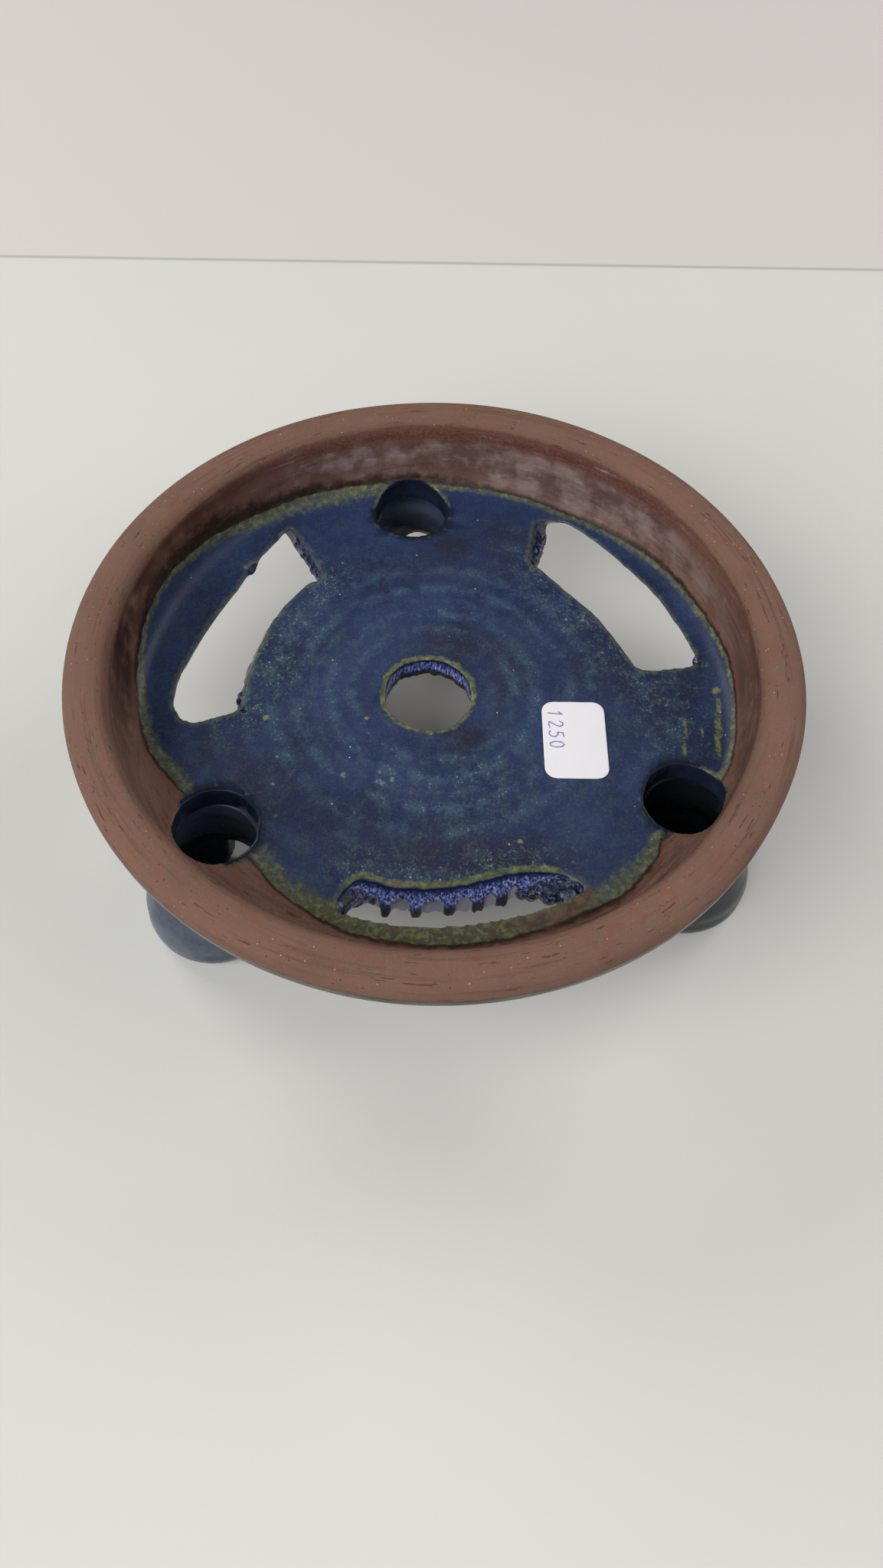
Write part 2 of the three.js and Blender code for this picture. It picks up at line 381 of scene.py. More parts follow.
def add_cutter(bm, outline, leans, top):
    ring = outline if outline_area(outline) > 0 else outline[::-1]
    face = bm.faces.new([bm.verts.new((x, y, top)) for x, y in ring])
    own = list(face.verts)
    for height in (FLOOR_TOP, (FLOOR_TOP + UNDERSIDE) / 2, UNDERSIDE, CUTTER_BOTTOM):
        grown = bmesh.ops.extrude_face_region(bm, geom=[face])
        new = [item for item in grown["geom"] if isinstance(item, bmesh.types.BMVert)]
        if face.is_valid and height < FLOOR_TOP:
            bmesh.ops.delete(bm, geom=[face], context="FACES")
        face = next(item for item in grown["geom"] if isinstance(item, bmesh.types.BMFace))
        for corner in new:
            corner.co.z = height
        own += new
    if leans:
        places = np.array([corner.co for corner in own])
        sideways = knife_slope(places[:, 0], places[:, 1]) * np.maximum(0, FLOOR_TOP - places[:, 2:])
        for corner, (x, y) in zip(own, sideways):
            corner.co.x += x
            corner.co.y += y
    else:
        for corner in own:
            inward = HOLE_TAPER * max(0, corner.co.z - FLOOR_TOP) / corner.co.xy.length
            corner.co.x *= 1 - inward
            corner.co.y *= 1 - inward


cutters = bmesh.new()
for outline in slot_outlines.values():
    add_cutter(cutters, outline, True, FLOOR_TOP + 3)
for name, outline in hole_outlines.items():
    add_cutter(cutters, outline, False, CUTTER_TOP if name != "middle" else FLOOR_TOP + 3)
bmesh.ops.recalc_face_normals(cutters, faces=cutters.faces[:])
cut(dish, as_object(cutters, "cutters"))
print("cut dish:", len(dish.data.polygons), "faces")

# %% [markdown]
# Drops and crumbs of glaze and clay
#
# The knife pushed up a ridge of clay at the front slot, and the thick glaze ran to the slots' ends and
# froze there in lumps. Each lump is a small sphere, stretched a little, that overlaps the dish. They are
# only laid into the same mesh here, and the next step melts everything into one skin.

# %% Lumps on the cut edges
# x, y, height and half width of each
LUMPS = [
    # the right end of the front slot
    (26.0, -47.6, 31.0, 2.2), (29.3, -48.0, 31.0, 1.8), (24.0, -46.6, 31.2, 1.6),
    (31.4, -49.0, 31.2, 1.6), (27.6, -46.2, 31.8, 1.8), (22.2, -47.3, 29.8, 1.4),
    (30.2, -46.4, 31.4, 1.7), (20.0, -47.2, 29.4, 1.0),
    # the left end of the front slot
    (-17.6, -53.2, 30.8, 1.7), (-16.6, -51.2, 30.4, 1.8), (-15.2, -49.7, 30.2, 1.8),
    (-13.4, -49.2, 29.8, 1.5), (-11.6, -50.0, 29.0, 1.1),
    # crumbs at the near corner of the left slot
    (-44.6, -1.9, 32.2, 1.2), (-44.3, -4.2, 32.0, 1.15), (-43.5, -5.3, 33.0, 0.95),
    (-44.9, 0.2, 31.4, 0.9), (-46.0, -6.6, 32.4, 0.9),
    # the far end of the left slot
    (-30.4, 38.3, 31.2, 1.1), (-31.9, 40.7, 30.6, 1.2), (-33.3, 43.2, 31.0, 1.15),
    (-34.9, 45.8, 30.6, 1.2), (-36.6, 48.3, 31.2, 1.1), (-31.4, 34.6, 31.2, 1.1),
    (-33.6, 32.0, 31.0, 0.9),
    # upright runs on the far end of the right slot
    (22.6, 44.6, 31.2, 1.1), (23.2, 47.0, 30.8, 1.1), (23.9, 49.6, 31.0, 1.15),
    (24.6, 52.2, 30.8, 1.1), (25.4, 54.8, 31.0, 1.0),
    # a knot at the near outer corner of the right slot
    (61.3, 14.6, 33.4, 1.2),
]
LUMP_TALLNESS = 1.5
CLAY_RIDGE = np.array([
    (17.6, -56.4, 32.7), (22.0, -55.5, 33.2), (27.0, -53.9, 33.3), (31.0, -51.3, 33.4),
    (33.6, -48.9, 33.6),
])
RIDGE_BALLS = 34
RIDGE_THIN = 0.5
RIDGE_THICK = 1.0


def add_ball(bm, place, radius, tall=1.0):
    matrix = Matrix.Translation(Vector(place)) @ Matrix.Diagonal((radius, radius, radius * tall, 1))
    bmesh.ops.create_icosphere(bm, subdivisions=2, radius=1, matrix=matrix)


lumpy = bmesh.new()
lumpy.from_mesh(dish.data)
for x, y, z, radius in LUMPS:
    add_ball(lumpy, (x, y, z), radius, LUMP_TALLNESS)
ridge_steps = np.linspace(0, 1, RIDGE_BALLS)
ridge_spots = np.column_stack([
    np.interp(ridge_steps, np.linspace(0, 1, len(CLAY_RIDGE)), values) for values in CLAY_RIDGE.T
])
for share, place in zip(ridge_steps, ridge_spots):
    add_ball(lumpy, place, RIDGE_THIN + (RIDGE_THICK - RIDGE_THIN) * share ** 1.5)
lumpy.to_mesh(dish.data)
lumpy.free()

# %% [markdown]
# Melting it into one skin
#
# A voxel remesh throws the old faces away and wraps one even skin round everything, as if it were melted
# together. The skin has steps where it follows a slanted edge, so a light smoothing follows. That also
# rounds the knife's edges by about half a millimetre, as fired glaze does.

# %% Remesh and smooth
VOXEL = 0.5


def melted(made, voxel, smoothing):
    step = made.modifiers.new("skin", "REMESH")
    step.mode = "VOXEL"
    step.voxel_size = voxel
    settle(made)
    step = made.modifiers.new("soften", "SMOOTH")
    step.factor = 0.5
    step.iterations = smoothing
    return settle(made)


melted(dish, VOXEL, 4)
print("melted dish:", len(dish.data.polygons), "faces")

# %% [markdown]
# Smooth random bumps
#
# Fired clay is never quite even. This value noise gives each point a random number that changes smoothly
# from place to place. It works on whole arrays at once, and its seeds are fixed, so the pot comes out the
# same each time.

# %% Noise for shaping
def unevenness(points, size, seed=0):
    """Smooth random values from -1 to 1 at the points, with bumps about as wide as size."""
    grid = np.asarray(points, float) / size + 512.5
    cell = np.floor(grid).astype(np.int64)
    part = grid - cell
    part = part * part * (3 - 2 * part)
    total = np.zeros(len(grid))
    for corner in np.ndindex(2, 2, 2):
        key = (cell + corner) @ np.array([7919, 104729, 1299709]) + seed * 15485863
        key = ((key ^ (key >> 7)) * 48271) & 0xFFFFFF
        key = ((key ^ (key >> 9)) * 69621) & 0xFFFFFF
        total += np.prod(np.where(corner, part, 1 - part), axis=1) * ((key >> 4) / 0x7FFFF - 1)
    return total


def read_points(mesh):
    points = np.empty(len(mesh.vertices) * 3, np.float32)
    mesh.vertices.foreach_get("co", points)
    return points.reshape(-1, 3).astype(float)


def write_points(mesh, points):
    mesh.vertices.foreach_set("co", points.astype(np.float32).ravel())
    mesh.update()


# %% [markdown]
# Where a point is on the pot
#
# Two measures say where any point is. The first is how far along the profile it lies, from the middle of
# the floor outwards, up the wall and over the lip. The second is how far it is from the nearest cut, less
# how far down the cut wall it has gone. Both come from a search tree, which finds the nearest of many
# stored points quickly. A point on a slanted cut is first slid back up the slant to the floor's level,
# in a few rounds, because the slope depends on the place that is being looked for.

# %% Measures over the pot
outward = profile[::-1]
outward_length = np.concatenate([[0], np.cumsum(np.linalg.norm(np.diff(outward, axis=0), axis=1))])
profile_marks = np.arange(0, outward_length[-1], 0.05)
profile_places = [np.interp(profile_marks, outward_length, outward[:, k]) for k in range(2)]


def search_tree(x, y):
    tree = kdtree.KDTree(len(x))
    for index, place in enumerate(zip(x, y)):
        tree.insert((*place, 0), index)
    tree.balance()
    return tree


def closed_line(outline, spacing):
    """Evenly spaced points along a closed outline."""
    ring = np.vstack([outline, outline[:1]])
    length = np.concatenate([[0], np.cumsum(np.linalg.norm(np.diff(ring, axis=0), axis=1))])
    marks = np.arange(0, length[-1], spacing)
    return np.column_stack([np.interp(marks, length, ring[:, k]) for k in range(2)])


profile_tree = search_tree(*profile_places)
slot_tree = search_tree(*np.vstack([closed_line(line, 0.1) for line in slot_outlines.values()]).T)
hole_tree = search_tree(*np.vstack([closed_line(line, 0.1) for line in hole_outlines.values()]).T)


class Place:
    """The measures of each of many points: all are arrays, in millimetres and degrees."""

    def __init__(self, points):
        self.points = points
        self.x, self.y, self.z = points.T
        self.radius = np.hypot(self.x, self.y)
        self.direction = np.degrees(np.arctan2(self.y, self.x))
        self.depth = np.clip(FLOOR_TOP - self.z, 0, FLOOR_THICKNESS)
        self.along = np.array([
            profile_marks[profile_tree.find((r, z, 0))[1]] for r, z in zip(self.radius, self.z)
        ])
        top = points[:, :2]
        for _ in range(4):
            top = points[:, :2] - knife_slope(top[:, 0], top[:, 1]) * self.depth[:, None]
        self.from_slot = np.array([slot_tree.find((x, y, 0))[2] for x, y in top])
        self.from_hole = np.array([hole_tree.find((x, y, 0))[2] for x, y in zip(self.x, self.y)])
        self.from_cut = np.minimum(self.from_slot, self.from_hole)


# %% [markdown]
# Throwing rings
#
# As the pot turned on the wheel, the potter's fingertip left shallow rings in the soft floor. They aren't
# quite round the middle of the pot. Crests take a thin glaze and so look lighter, and the same function
# tells the glaze where they are.

# %% Rings in the floor
RING_CENTRE = (-0.5, 2.0)
RING_DEPTH = 0.216
HIGHEST_CREST = 1.1
# radius, half width and share of the full height of each crest
RING_CRESTS = [
    (13.6, 1.3, 0.4), (18.8, 1.5, 0.9), (23.6, 1.7, 1.0), (27.6, 1.0, 0.4), (31.4, 1.5, 0.9),
    (37.4, 1.7, 0.8), (43.0, 1.4, 0.35), (49.5, 2.0, 0.3), (56.0, 2.0, 0.35),
]


def ring_crests(x, y):
    dx, dy = x - RING_CENTRE[0], y - RING_CENTRE[1]
    flat = np.column_stack([x, y, np.zeros(len(x))])
    radius = np.hypot(dx, dy) + 0.7 * unevenness(flat, 17.0, 5)
    fade = 0.72 + 0.5 * unevenness(flat, 11.0, 8)
    crests = sum(share * bell(radius, place, width) for place, width, share in RING_CRESTS)
    return np.clip(crests * fade, 0, HIGHEST_CREST)


# %% [markdown]
# Shaping by hand
#
# Every mark of the hand is a small shift of the skin's points. The floor gets its rings and dips. The lip
# sags a little at the back and is pressed in at the front right. The knife's walls get ragged. On the far
# wall of the front slot the glaze ran down and froze in posts, with a small alcove between each two.

# %% Relief
POSTS = [-8.5, -2.0, 5.2, 11.1, 16.1]
LIP_DENT = 0.5
LIP_DENT_DIRECTION = -30
LIP_SAG = 0.45
LIP_SAG_DIRECTION = 104
# where the floor ends, and where the inner and the outer wall start and end, along the profile
FLOOR_END = (58, 66)
INNER_WALL = (72, 76, 82, 86)
OUTER_WALL = (99, 103, 118, 124)
# place, reach and depth of the dents beside the front, left and right slots
DIMPLES = [
    ((24.8, -44.8, 33.6), 1.1, 2.0),
    ((*polar(140.6, 59.6), 33.6), 2.0, 2.2),
    ((62.3, 13.0, 33.8), 0.9, 0.8),
]


def floor_relief(x, y):
    """The floor's height against the CAD floor's top. It is never above it."""
    flat = np.column_stack([x, y, np.zeros(len(x))])
    dips = 0.09 * (unevenness(flat, 19.0, 2) - 1) + 0.03 * (unevenness(flat, 5.0, 3) - 1)
    return RING_DEPTH * (ring_crests(x, y) - HIGHEST_CREST) + dips


def zone(value, start, full, fading, end):
    """Rises from 0 to 1 between start and full, and falls back to 0 between fading and end."""
    return smooth_step(value, start, full) * (1 - smooth_step(value, fading, end))


def alcove_share(at):
    """1 inside the alcoves of the front slot's far wall, 0 on the posts and above the alcoves' arches."""
    far_wall = zone(at.x, -14.5, -12.5, 18.5, 20.5) * (at.y < -38) * (at.radius < 56)
    from_post = np.min([np.abs(at.x - post) for post in POSTS], axis=0)
    below_arch = at.depth - 1.1 * (1 - smooth_step(from_post, 1.0, 2.6))
    return far_wall * smooth_step(from_post, 0.7, 1.5) * smooth_step(below_arch, 2.9, 3.9)


def shaped(points):
    at = Place(points)
    new = points.copy()
    unit = np.column_stack([at.x, at.y]) / np.maximum(at.radius, 1e-6)[:, None]
    floor = (1 - smooth_step(at.along, *FLOOR_END)) * smooth_step(at.z, UNDERSIDE + 1, FLOOR_TOP - 1)
    new[:, 2] += floor * floor_relief(at.x, at.y)

    round_wobble = 0.06 * (unevenness(points * (1, 1, 0), 40.0, 4) - 1)
    round_wobble -= LIP_DENT * bell(turn_between(at.direction, LIP_DENT_DIRECTION), 0, 14)
    new[:, :2] += unit * (round_wobble * smooth_step(at.z, 36, 46))[:, None]
    sag = LIP_SAG * bell(turn_between(at.direction, LIP_SAG_DIRECTION), 0, 26)
    sag += 0.12 * (1 + unevenness(points, 24.0, 6))
    new[:, 2] -= sag * smooth_step(at.z, 44, 53)

    wall_lines = unevenness(np.column_stack([unit * 6, at.along / 2.4]), 1.0, 7)
    wall_lines *= 0.16 * zone(at.along, *INNER_WALL) + 0.22 * zone(at.along, *OUTER_WALL)
    new[:, :2] += unit * wall_lines[:, None]

    edge = (1 - smooth_step(at.from_cut, 0, 2.2)) * smooth_step(at.depth, 0.3, 2.5)
    ragged = 0.38 * unevenness(points * (1, 1, 0.35), 1.5, 9)
    ragged += 0.3 * unevenness(points * (1, 1, 0.3), 3.6, 10)
    ragged *= 1 - 0.6 * smooth_step(at.radius, 53, 57)
    new[:, :2] += unit * (ragged * edge)[:, None]

    deepest = 1.6 - 0.7 * smooth_step(at.x, 2, 8)
    behind = 1 - smooth_step(at.from_slot, 0.5, 6.0)
    new[:, :2] -= unit * (deepest * alcove_share(at) * behind)[:, None]
    return new


def add_dimple(points, centre, reach, depth):
    """Pushes a small round dent straight down."""
    away = np.linalg.norm(points - np.array(centre), axis=1)
    points[:, 2] -= depth * bell(away, 0, reach)


shaped_points = shaped(read_points(dish.data))
for dimple in DIMPLES:
    add_dimple(shaped_points, *dimple)
write_points(dish.data, shaped_points)

# %% [markdown]
# Fewer triangles where it is flat
#
# The even skin spends as many faces on the plain underside as on the knife's edges. The Decimate modifier
# joins faces where the surface is nearly flat and keeps them small where it bends.

# %% Thin the mesh
MOST_TRIANGLES = 190_000


def thinned(made, most):
    triangles = sum(len(face.vertices) - 2 for face in made.data.polygons)
    if triangles > most:
        step = made.modifiers.new("thin", "DECIMATE")
        step.ratio = most / triangles
        settle(made)
    print(f"{made.name}: {triangles} triangles, now {len(made.data.polygons)} faces")
    return made


thinned(dish, MOST_TRIANGLES)

# %% [markdown]
# Where the glaze ends
#
# The potter poured glaze into the dish and swirled it, so its edge wanders: high on the wall at the left,
# down on the floor at the front. Walking round the pot, a few readings along the profile describe it, with
# the width of the thin yellow-olive fringe inside it and of the dark stain outside it.

# %% Knots of the glaze's edge
GLAZE_LINE = round_the_pot([
    (-170, 66.3), (-178, 67.9), (174, 70.1), (168, 72.5), (162, 74.0), (156, 74.6), (149, 73.8), (143, 73.1),
    (137, 71.7), (131, 70.8), (121, 70.3), (114, 69.5), (107, 69.0), (89, 67.7), (73, 67.4), (62, 67.1),
    (50, 67.9), (38, 68.7), (24, 69.0), (11, 69.9), (-1, 68.8), (-8, 68.4), (-14, 67.7), (-24, 64.5),
    (-35, 60.3), (-39, 62.1), (-50, 63.2), (-60, 61.6), (-82, 61.4), (-105, 61.3), (-112, 60.3),
    (-118, 59.5), (-124, 58.6), (-130, 56.7), (-152, 60.2), (-160, 63.2), (-164, 65.0),
])
OLIVE_WIDTH = round_the_pot([
    (-170, 2.5), (174, 2), (150, 2.5), (125, 4), (115, 4.5), (107, 3.5), (89, 1.5), (60, 1.5), (30, 1.5),
    (11, 1.2), (-8, 1.2), (-20, 1.8), (-38, 3), (-45, 4.5), (-52, 5), (-60, 4), (-70, 3.5), (-90, 3.5),
    (-105, 4.5), (-112, 4.5), (-135, 4.5), (-152, 4), (-165, 3.5),
])
STAIN_WIDTH = round_the_pot([
    (-178, 1), (170, 3), (155, 7), (140, 7), (125, 4), (110, 2.4), (100, 3.6), (90, 3), (80, 1.4),
    (60, 1.2), (40, 2), (25, 1.5), (0, 1), (-40, 1), (-60, 2), (-90, 1.5), (-120, 0.8), (-150, 0.7),
])
# where the stained wall meets the bare lip, and where the glaze outside starts
WALL_TOP = round_the_pot([
    (90, 84.2), (30, 83.6), (150, 83.6), (0, 82.6), (180, 82.4), (-60, 82.0), (-120, 82.0),
])
OUTER_LINE = 97.3
INSIDE_GLAZE = -9  # stands for a place far inside the glaze's edge

# %% [markdown]
# Marks for the glaze
#
# The material can't know about slots, rings or the glaze's edge, so those are stored on the mesh as point
# attributes, each a plain number that a node can read. Colours are left to the material. A mark says only
# where something is: how far past the glaze line, how near a cut, on a crest, in a well.

# %% Store the marks
# strength, x, y, width and length of the soft areas of each tint
TEAL_AREAS = [(0.75, -38, 18, 9, 24), (0.55, 36, 27, 9, 14), (0.3, 10, -26, 20, 12), (0.8, 54, -3, 9, 14)]
PLUM_AREAS = [
    (0.9, -41, -29, 6, 12), (1.0, 5, -41, 26, 5), (0.7, 4, 17, 12, 5), (0.8, 6, -9.5, 6, 4),
    (0.6, 14, 52, 9, 6), (0.5, 0, 40, 26, 7), (0.5, 16, 4, 5, 12),
]


def in_areas(at, areas):
    return sum(
        strength * bell(at.x, x, wide) * bell(at.y, y, tall) for strength, x, y, wide, tall in areas
    )


def sector(at, middle, half, soft=8):
    away = np.abs(turn_between(at.direction, middle))
    return 1 - smooth_step(away, half - soft, half + soft)


def store(mesh, marks):
    for name, values in marks.items():
        attribute = mesh.attributes.new(name, "FLOAT", "POINT")
        attribute.data.foreach_set("value", np.asarray(values, np.float32))


def bowl_marks(mesh):
    at = Place(read_points(mesh))
    normals = np.empty(len(mesh.vertices) * 3, np.float32)
    mesh.vertices.foreach_get("normal", normals)
    upright = 1 - smooth_step(np.abs(normals.reshape(-1, 3)[:, 2]), 0.4, 0.75)
    on_cut = (at.from_cut < 3) & (at.along > 90) & (at.z < FLOOR_TOP + 1)
    past_line = np.where(on_cut, INSIDE_GLAZE, at.along - GLAZE_LINE(at.direction))
    on_top = smooth_step(at.z, UNDERSIDE + 1.5, FLOOR_TOP - 0.9)
    middle, middle_radius = HOLES["middle"]
    middle_hole = np.hypot(at.x - middle[0], at.y - middle[1]) < middle_radius + 3
    teal = 0.25 + in_areas(at, TEAL_AREAS) + bell(at.from_slot, 0, 5.5) * (at.radius < 52)
    front_slot = (at.y < -38) & (np.abs(at.x) < 33)
    lumps = np.max([
        bell(np.linalg.norm(at.points - lump[:3], axis=1), 0, lump[3] * 1.5) for lump in np.array(LUMPS)
    ], axis=0)
    ridge = np.min([np.linalg.norm(at.points - place, axis=1) for place in ridge_spots], axis=0)
    return {
        "along": at.along,
        "past_line": past_line,
        "olive_band": -past_line / OLIVE_WIDTH(at.direction),
        "stain": past_line / STAIN_WIDTH(at.direction),
        "past_wall": at.along - WALL_TOP(at.direction),
        "past_outer": np.where(on_cut, INSIDE_GLAZE, at.along - OUTER_LINE),
        "cut": at.from_cut - at.depth,
        "ring": ring_crests(at.x, at.y) * on_top,
        "teal": np.clip(teal, 0, 1),
        "plum": np.clip(in_areas(at, PLUM_AREAS), 0, 1),
        "purple": sector(at, 88, 44, 18) + 0.5 * sector(at, 35, 22, 12),
        # painted shade: dark brown on the left wall, which faces away from the lamps, and weaker on the right
        # wall
        "left_shade_right_dark": sector(at, 158, 34, 14) + 0.6 * sector(at, -5, 28, 14),
        "strips": sector(at, -48, 14, 6),
        "well": np.where(
            at.depth > 0.2, at.from_hole < 1.3, upright * (at.from_hole < 0.8) * (at.z < FLOOR_TOP + 2.4)
        ) * ~middle_hole,
        "alcove": alcove_share(at),
        "shelf": sector(at, -86, 30, 5) * smooth_step(at.radius, 55.5, 57.5),
        "back": sector(at, 90, 60, 30) * smooth_step(at.y, 15, 35),
        "broken_edge": np.clip(
            0.4 + 0.6 * (front_slot & (at.radius < 51)) + 0.5 * middle_hole + 0.4 * (at.from_hole < 3),
            0, 1,
        ),
        "lavender": np.clip(0.25 + front_slot + (middle_hole & (at.y > 1)), 0, 1),
        "lump": lumps,
        "bare_ridge": 1 - smooth_step(ridge, 1.2, 1.7),
    }


marks = bowl_marks(dish.data)
store(dish.data, marks)
print(len(marks), "marks stored on", len(dish.data.vertices), "points")

# %% [markdown]
# A thrown bulb for a foot
#
# Each foot is a small thrown bulb, open at the bottom, with a little arch cut out of its wall so that
# water can leave. Its neck was pressed against the underside of the dish and sealed with slip. The neck is
# turned too long and the dish's own outer shape is cut out of it, so that the joint follows the flare.
# The front feet lean outwards as they go down, so their meshes are sheared: each level is slid sideways.

# %% Sizes of a foot
NECK_OFFSET = 2.0
BULB_RADIUS = 16.0
BULB_HEIGHT = 6.0
CONTACT_RADIUS = 12.4
FOOT_WALL = 3.6
WAIST_RADIUS = 13.0
WAIST_HEIGHT = UNDERSIDE - 6.0
JOINT_FLARE = 1.4
NECK_BORE = 10.0
NECK_TOP = 44.5
ARCH_WIDTH = 9.0
ARCH_HEIGHT = 12.0
# direction of the foot, distance of its hole from the pot's middle, how far it splays outwards on its way
# down, and the direction that its arch faces
FEET = {
    "foot_back": (98, 60.0, 0.0, 80),
    "foot_left": (218.4, 58.1, 2.3, 65),
    "foot_right": (336.6, 60.5, 3.1, 160),
}
SEAL = 0.15

belly = (BULB_HEIGHT + WAIST_HEIGHT) / 2
foot_profile = np.vstack([
    [(CONTACT_RADIUS - FOOT_WALL, 0.0)],
    straight((CONTACT_RADIUS - FOOT_WALL, 0), (CONTACT_RADIUS, 0), 5),
    curve([(CONTACT_RADIUS, 0), (BULB_RADIUS, 0), (BULB_RADIUS, BULB_HEIGHT)], 12),
    curve([(BULB_RADIUS, BULB_HEIGHT), (BULB_RADIUS, belly), (WAIST_RADIUS, belly),
           (WAIST_RADIUS, WAIST_HEIGHT)], 14),
    curve([(WAIST_RADIUS, WAIST_HEIGHT), (WAIST_RADIUS, UNDERSIDE - JOINT_FLARE),
           (WAIST_RADIUS + JOINT_FLARE, UNDERSIDE)], 6),
    straight((WAIST_RADIUS + JOINT_FLARE, UNDERSIDE), (WAIST_RADIUS + JOINT_FLARE, NECK_TOP), 14),
    straight((WAIST_RADIUS + JOINT_FLARE, NECK_TOP), (NECK_BORE, NECK_TOP), 4),
    straight((NECK_BORE, NECK_TOP), (NECK_BORE, UNDERSIDE - 3.2), 12),
    straight((NECK_BORE, UNDERSIDE - 3.2), (WAIST_RADIUS - FOOT_WALL, WAIST_HEIGHT), 3),
    curve([(WAIST_RADIUS - FOOT_WALL, WAIST_HEIGHT), (WAIST_RADIUS - FOOT_WALL, belly),
           (BULB_RADIUS - FOOT_WALL, belly), (BULB_RADIUS - FOOT_WALL, BULB_HEIGHT)], 12),
    curve([(BULB_RADIUS - FOOT_WALL, BULB_HEIGHT), (BULB_RADIUS - FOOT_WALL, FOOT_WALL / 2),
           (CONTACT_RADIUS - FOOT_WALL, 0)], 8),
])

# %% [markdown]
# Cutting the foot
#
# Two cutters shape the bulb. The arch is a flat outline, a rectangle with a round top, that is extruded
# from the bulb's middle outwards. The dish's outer shape is the first part of its own profile, closed
# over the top, and a touch smaller so that neck and dish just overlap and look fused.

# %% Arch and joint cutters
def arch_cutter(turn):
    bm = bmesh.new()
    half = ARCH_WIDTH / 2
    angle = np.linspace(0, math.pi, 17)
    outline = [(half, -2.0)] + [
        (half * math.cos(a), ARCH_HEIGHT - half + half * math.sin(a)) for a in angle
    ] + [(-half, -2.0)]
    face = bm.faces.new([bm.verts.new((0, y, z)) for y, z in outline])
    grown = bmesh.ops.extrude_face_region(bm, geom=[face])
    new = [item for item in grown["geom"] if isinstance(item, bmesh.types.BMVert)]
    bmesh.ops.translate(bm, verts=new, vec=(BULB_RADIUS + 4, 0, 0))
    bmesh.ops.rotate(bm, verts=bm.verts[:], matrix=Matrix.Rotation(math.radians(turn), 3, "Z"))
    bmesh.ops.recalc_face_normals(bm, faces=bm.faces[:])
    return bm


def dish_outside():
    outer = profile[profile[:, 0] > 1]
    outer = outer[: np.argmax(outer[:, 0])]
    outer = outer + np.array([-SEAL, SEAL])
    closing = [(0, outer[0][1])]
    above = LIP_TOP + 6.5
    return turned(np.vstack([closing, outer, [(outer[-1][0], above), (0, above)]]), 160)


def make_foot(name, direction, hole_distance, splay, arch_turn, seed):
    foot = as_object(turned(foot_profile, 96), name)
    cut(foot, as_object(arch_cutter(arch_turn), "arch"))
    ring = polar(direction, hole_distance + NECK_OFFSET + splay)
    lean = polar(direction, -splay / UNDERSIDE)
    foot.data.transform(Matrix((
        (1, 0, lean[0], ring[0]), (0, 1, lean[1], ring[1]), (0, 0, 1, 0), (0, 0, 0, 1),
    )))
    cut(foot, as_object(dish_outside(), "outside"))
    melted(foot, 0.55, 3)
    points = read_points(foot.data)
    away = points[:, :2] - ring - points[:, 2:] * lean
    distance = np.linalg.norm(away, axis=1)
    unit = away / np.maximum(distance, 1e-6)[:, None]
    tooling = np.column_stack([unit * 1.5, points[:, 2] / 2.6])
    inside = distance < WAIST_RADIUS - FOOT_WALL / 2 + 1.5
    amount = np.where(inside, 0.42, 0.2) * smooth_step(points[:, 2], 2.0, 5.0)
    amount = amount * (1 - smooth_step(points[:, 2], UNDERSIDE - 1.2, UNDERSIDE))
    points[:, :2] += unit * (amount * unevenness(tooling, 1.0, seed))[:, None]
    write_points(foot.data, points)
    thinned(foot, 60_000)
    points = read_points(foot.data)
    distance = np.linalg.norm(points[:, :2] - ring - points[:, 2:] * lean, axis=1)
    store(foot.data, {
        # painted shade: 1 on the right foot, whose glaze is painted darker because it stands in shade
        "dark": np.full(len(points), float(name == "foot_right")),
        "inside": 1 - smooth_step(distance, 10.6, 12.6),
        "height": points[:, 2],
    })
    return foot


feet = [make_foot(name, *sizes, seed) for seed, (name, sizes) in enumerate(FEET.items(), 20)]

# %% [markdown]
# The price sticker
#
# The sticker is a small paper label with rounded corners. A grid makes the sheet, and each of its rows is
# drawn in towards the corners. It then drops on to the floor's relief, so that it lies on the rings as
# paper does, with its corners a little up.

# %% Shape the sticker
sticker_low, sticker_high = (np.array(corner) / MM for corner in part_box("price_sticker"))
STICKER_MIDDLE = (sticker_low + sticker_high) / 2
STICKER_WIDTH = 14.3
STICKER_LENGTH = 20.8
STICKER_CORNER = 2.8
STICKER_TURN = 2.1
PAPER = 0.12
PAPER_GIVE = 0.3  # share of the floor's relief that the paper follows
PAPER_SINK = 0.02
CORNER_LIFT = 0.05

sheet = bmesh.new()
bmesh.ops.create_grid(sheet, x_segments=60, y_segments=88, size=0.5)
for corner in sheet.verts:
    v = corner.co.y * STICKER_LENGTH
    past = max(0.0, abs(v) - (STICKER_LENGTH / 2 - STICKER_CORNER))
    half = STICKER_WIDTH / 2 - STICKER_CORNER + math.sqrt(max(0.0, STICKER_CORNER ** 2 - past ** 2))
    corner.co.x *= 2 * half
    corner.co.y = v
sticker = as_object(sheet, "price_sticker_paper")

# %% [markdown]
# Handwritten numbers
#
# The numbers are pen strokes, and a stroke is a run of short straight lines. Each point of the paper
# stores how far it is from the nearest stroke, and the material inks every place that is near enough.
# A distance changes evenly across a face, so the ink's edge stays sharp on a coarse mesh.

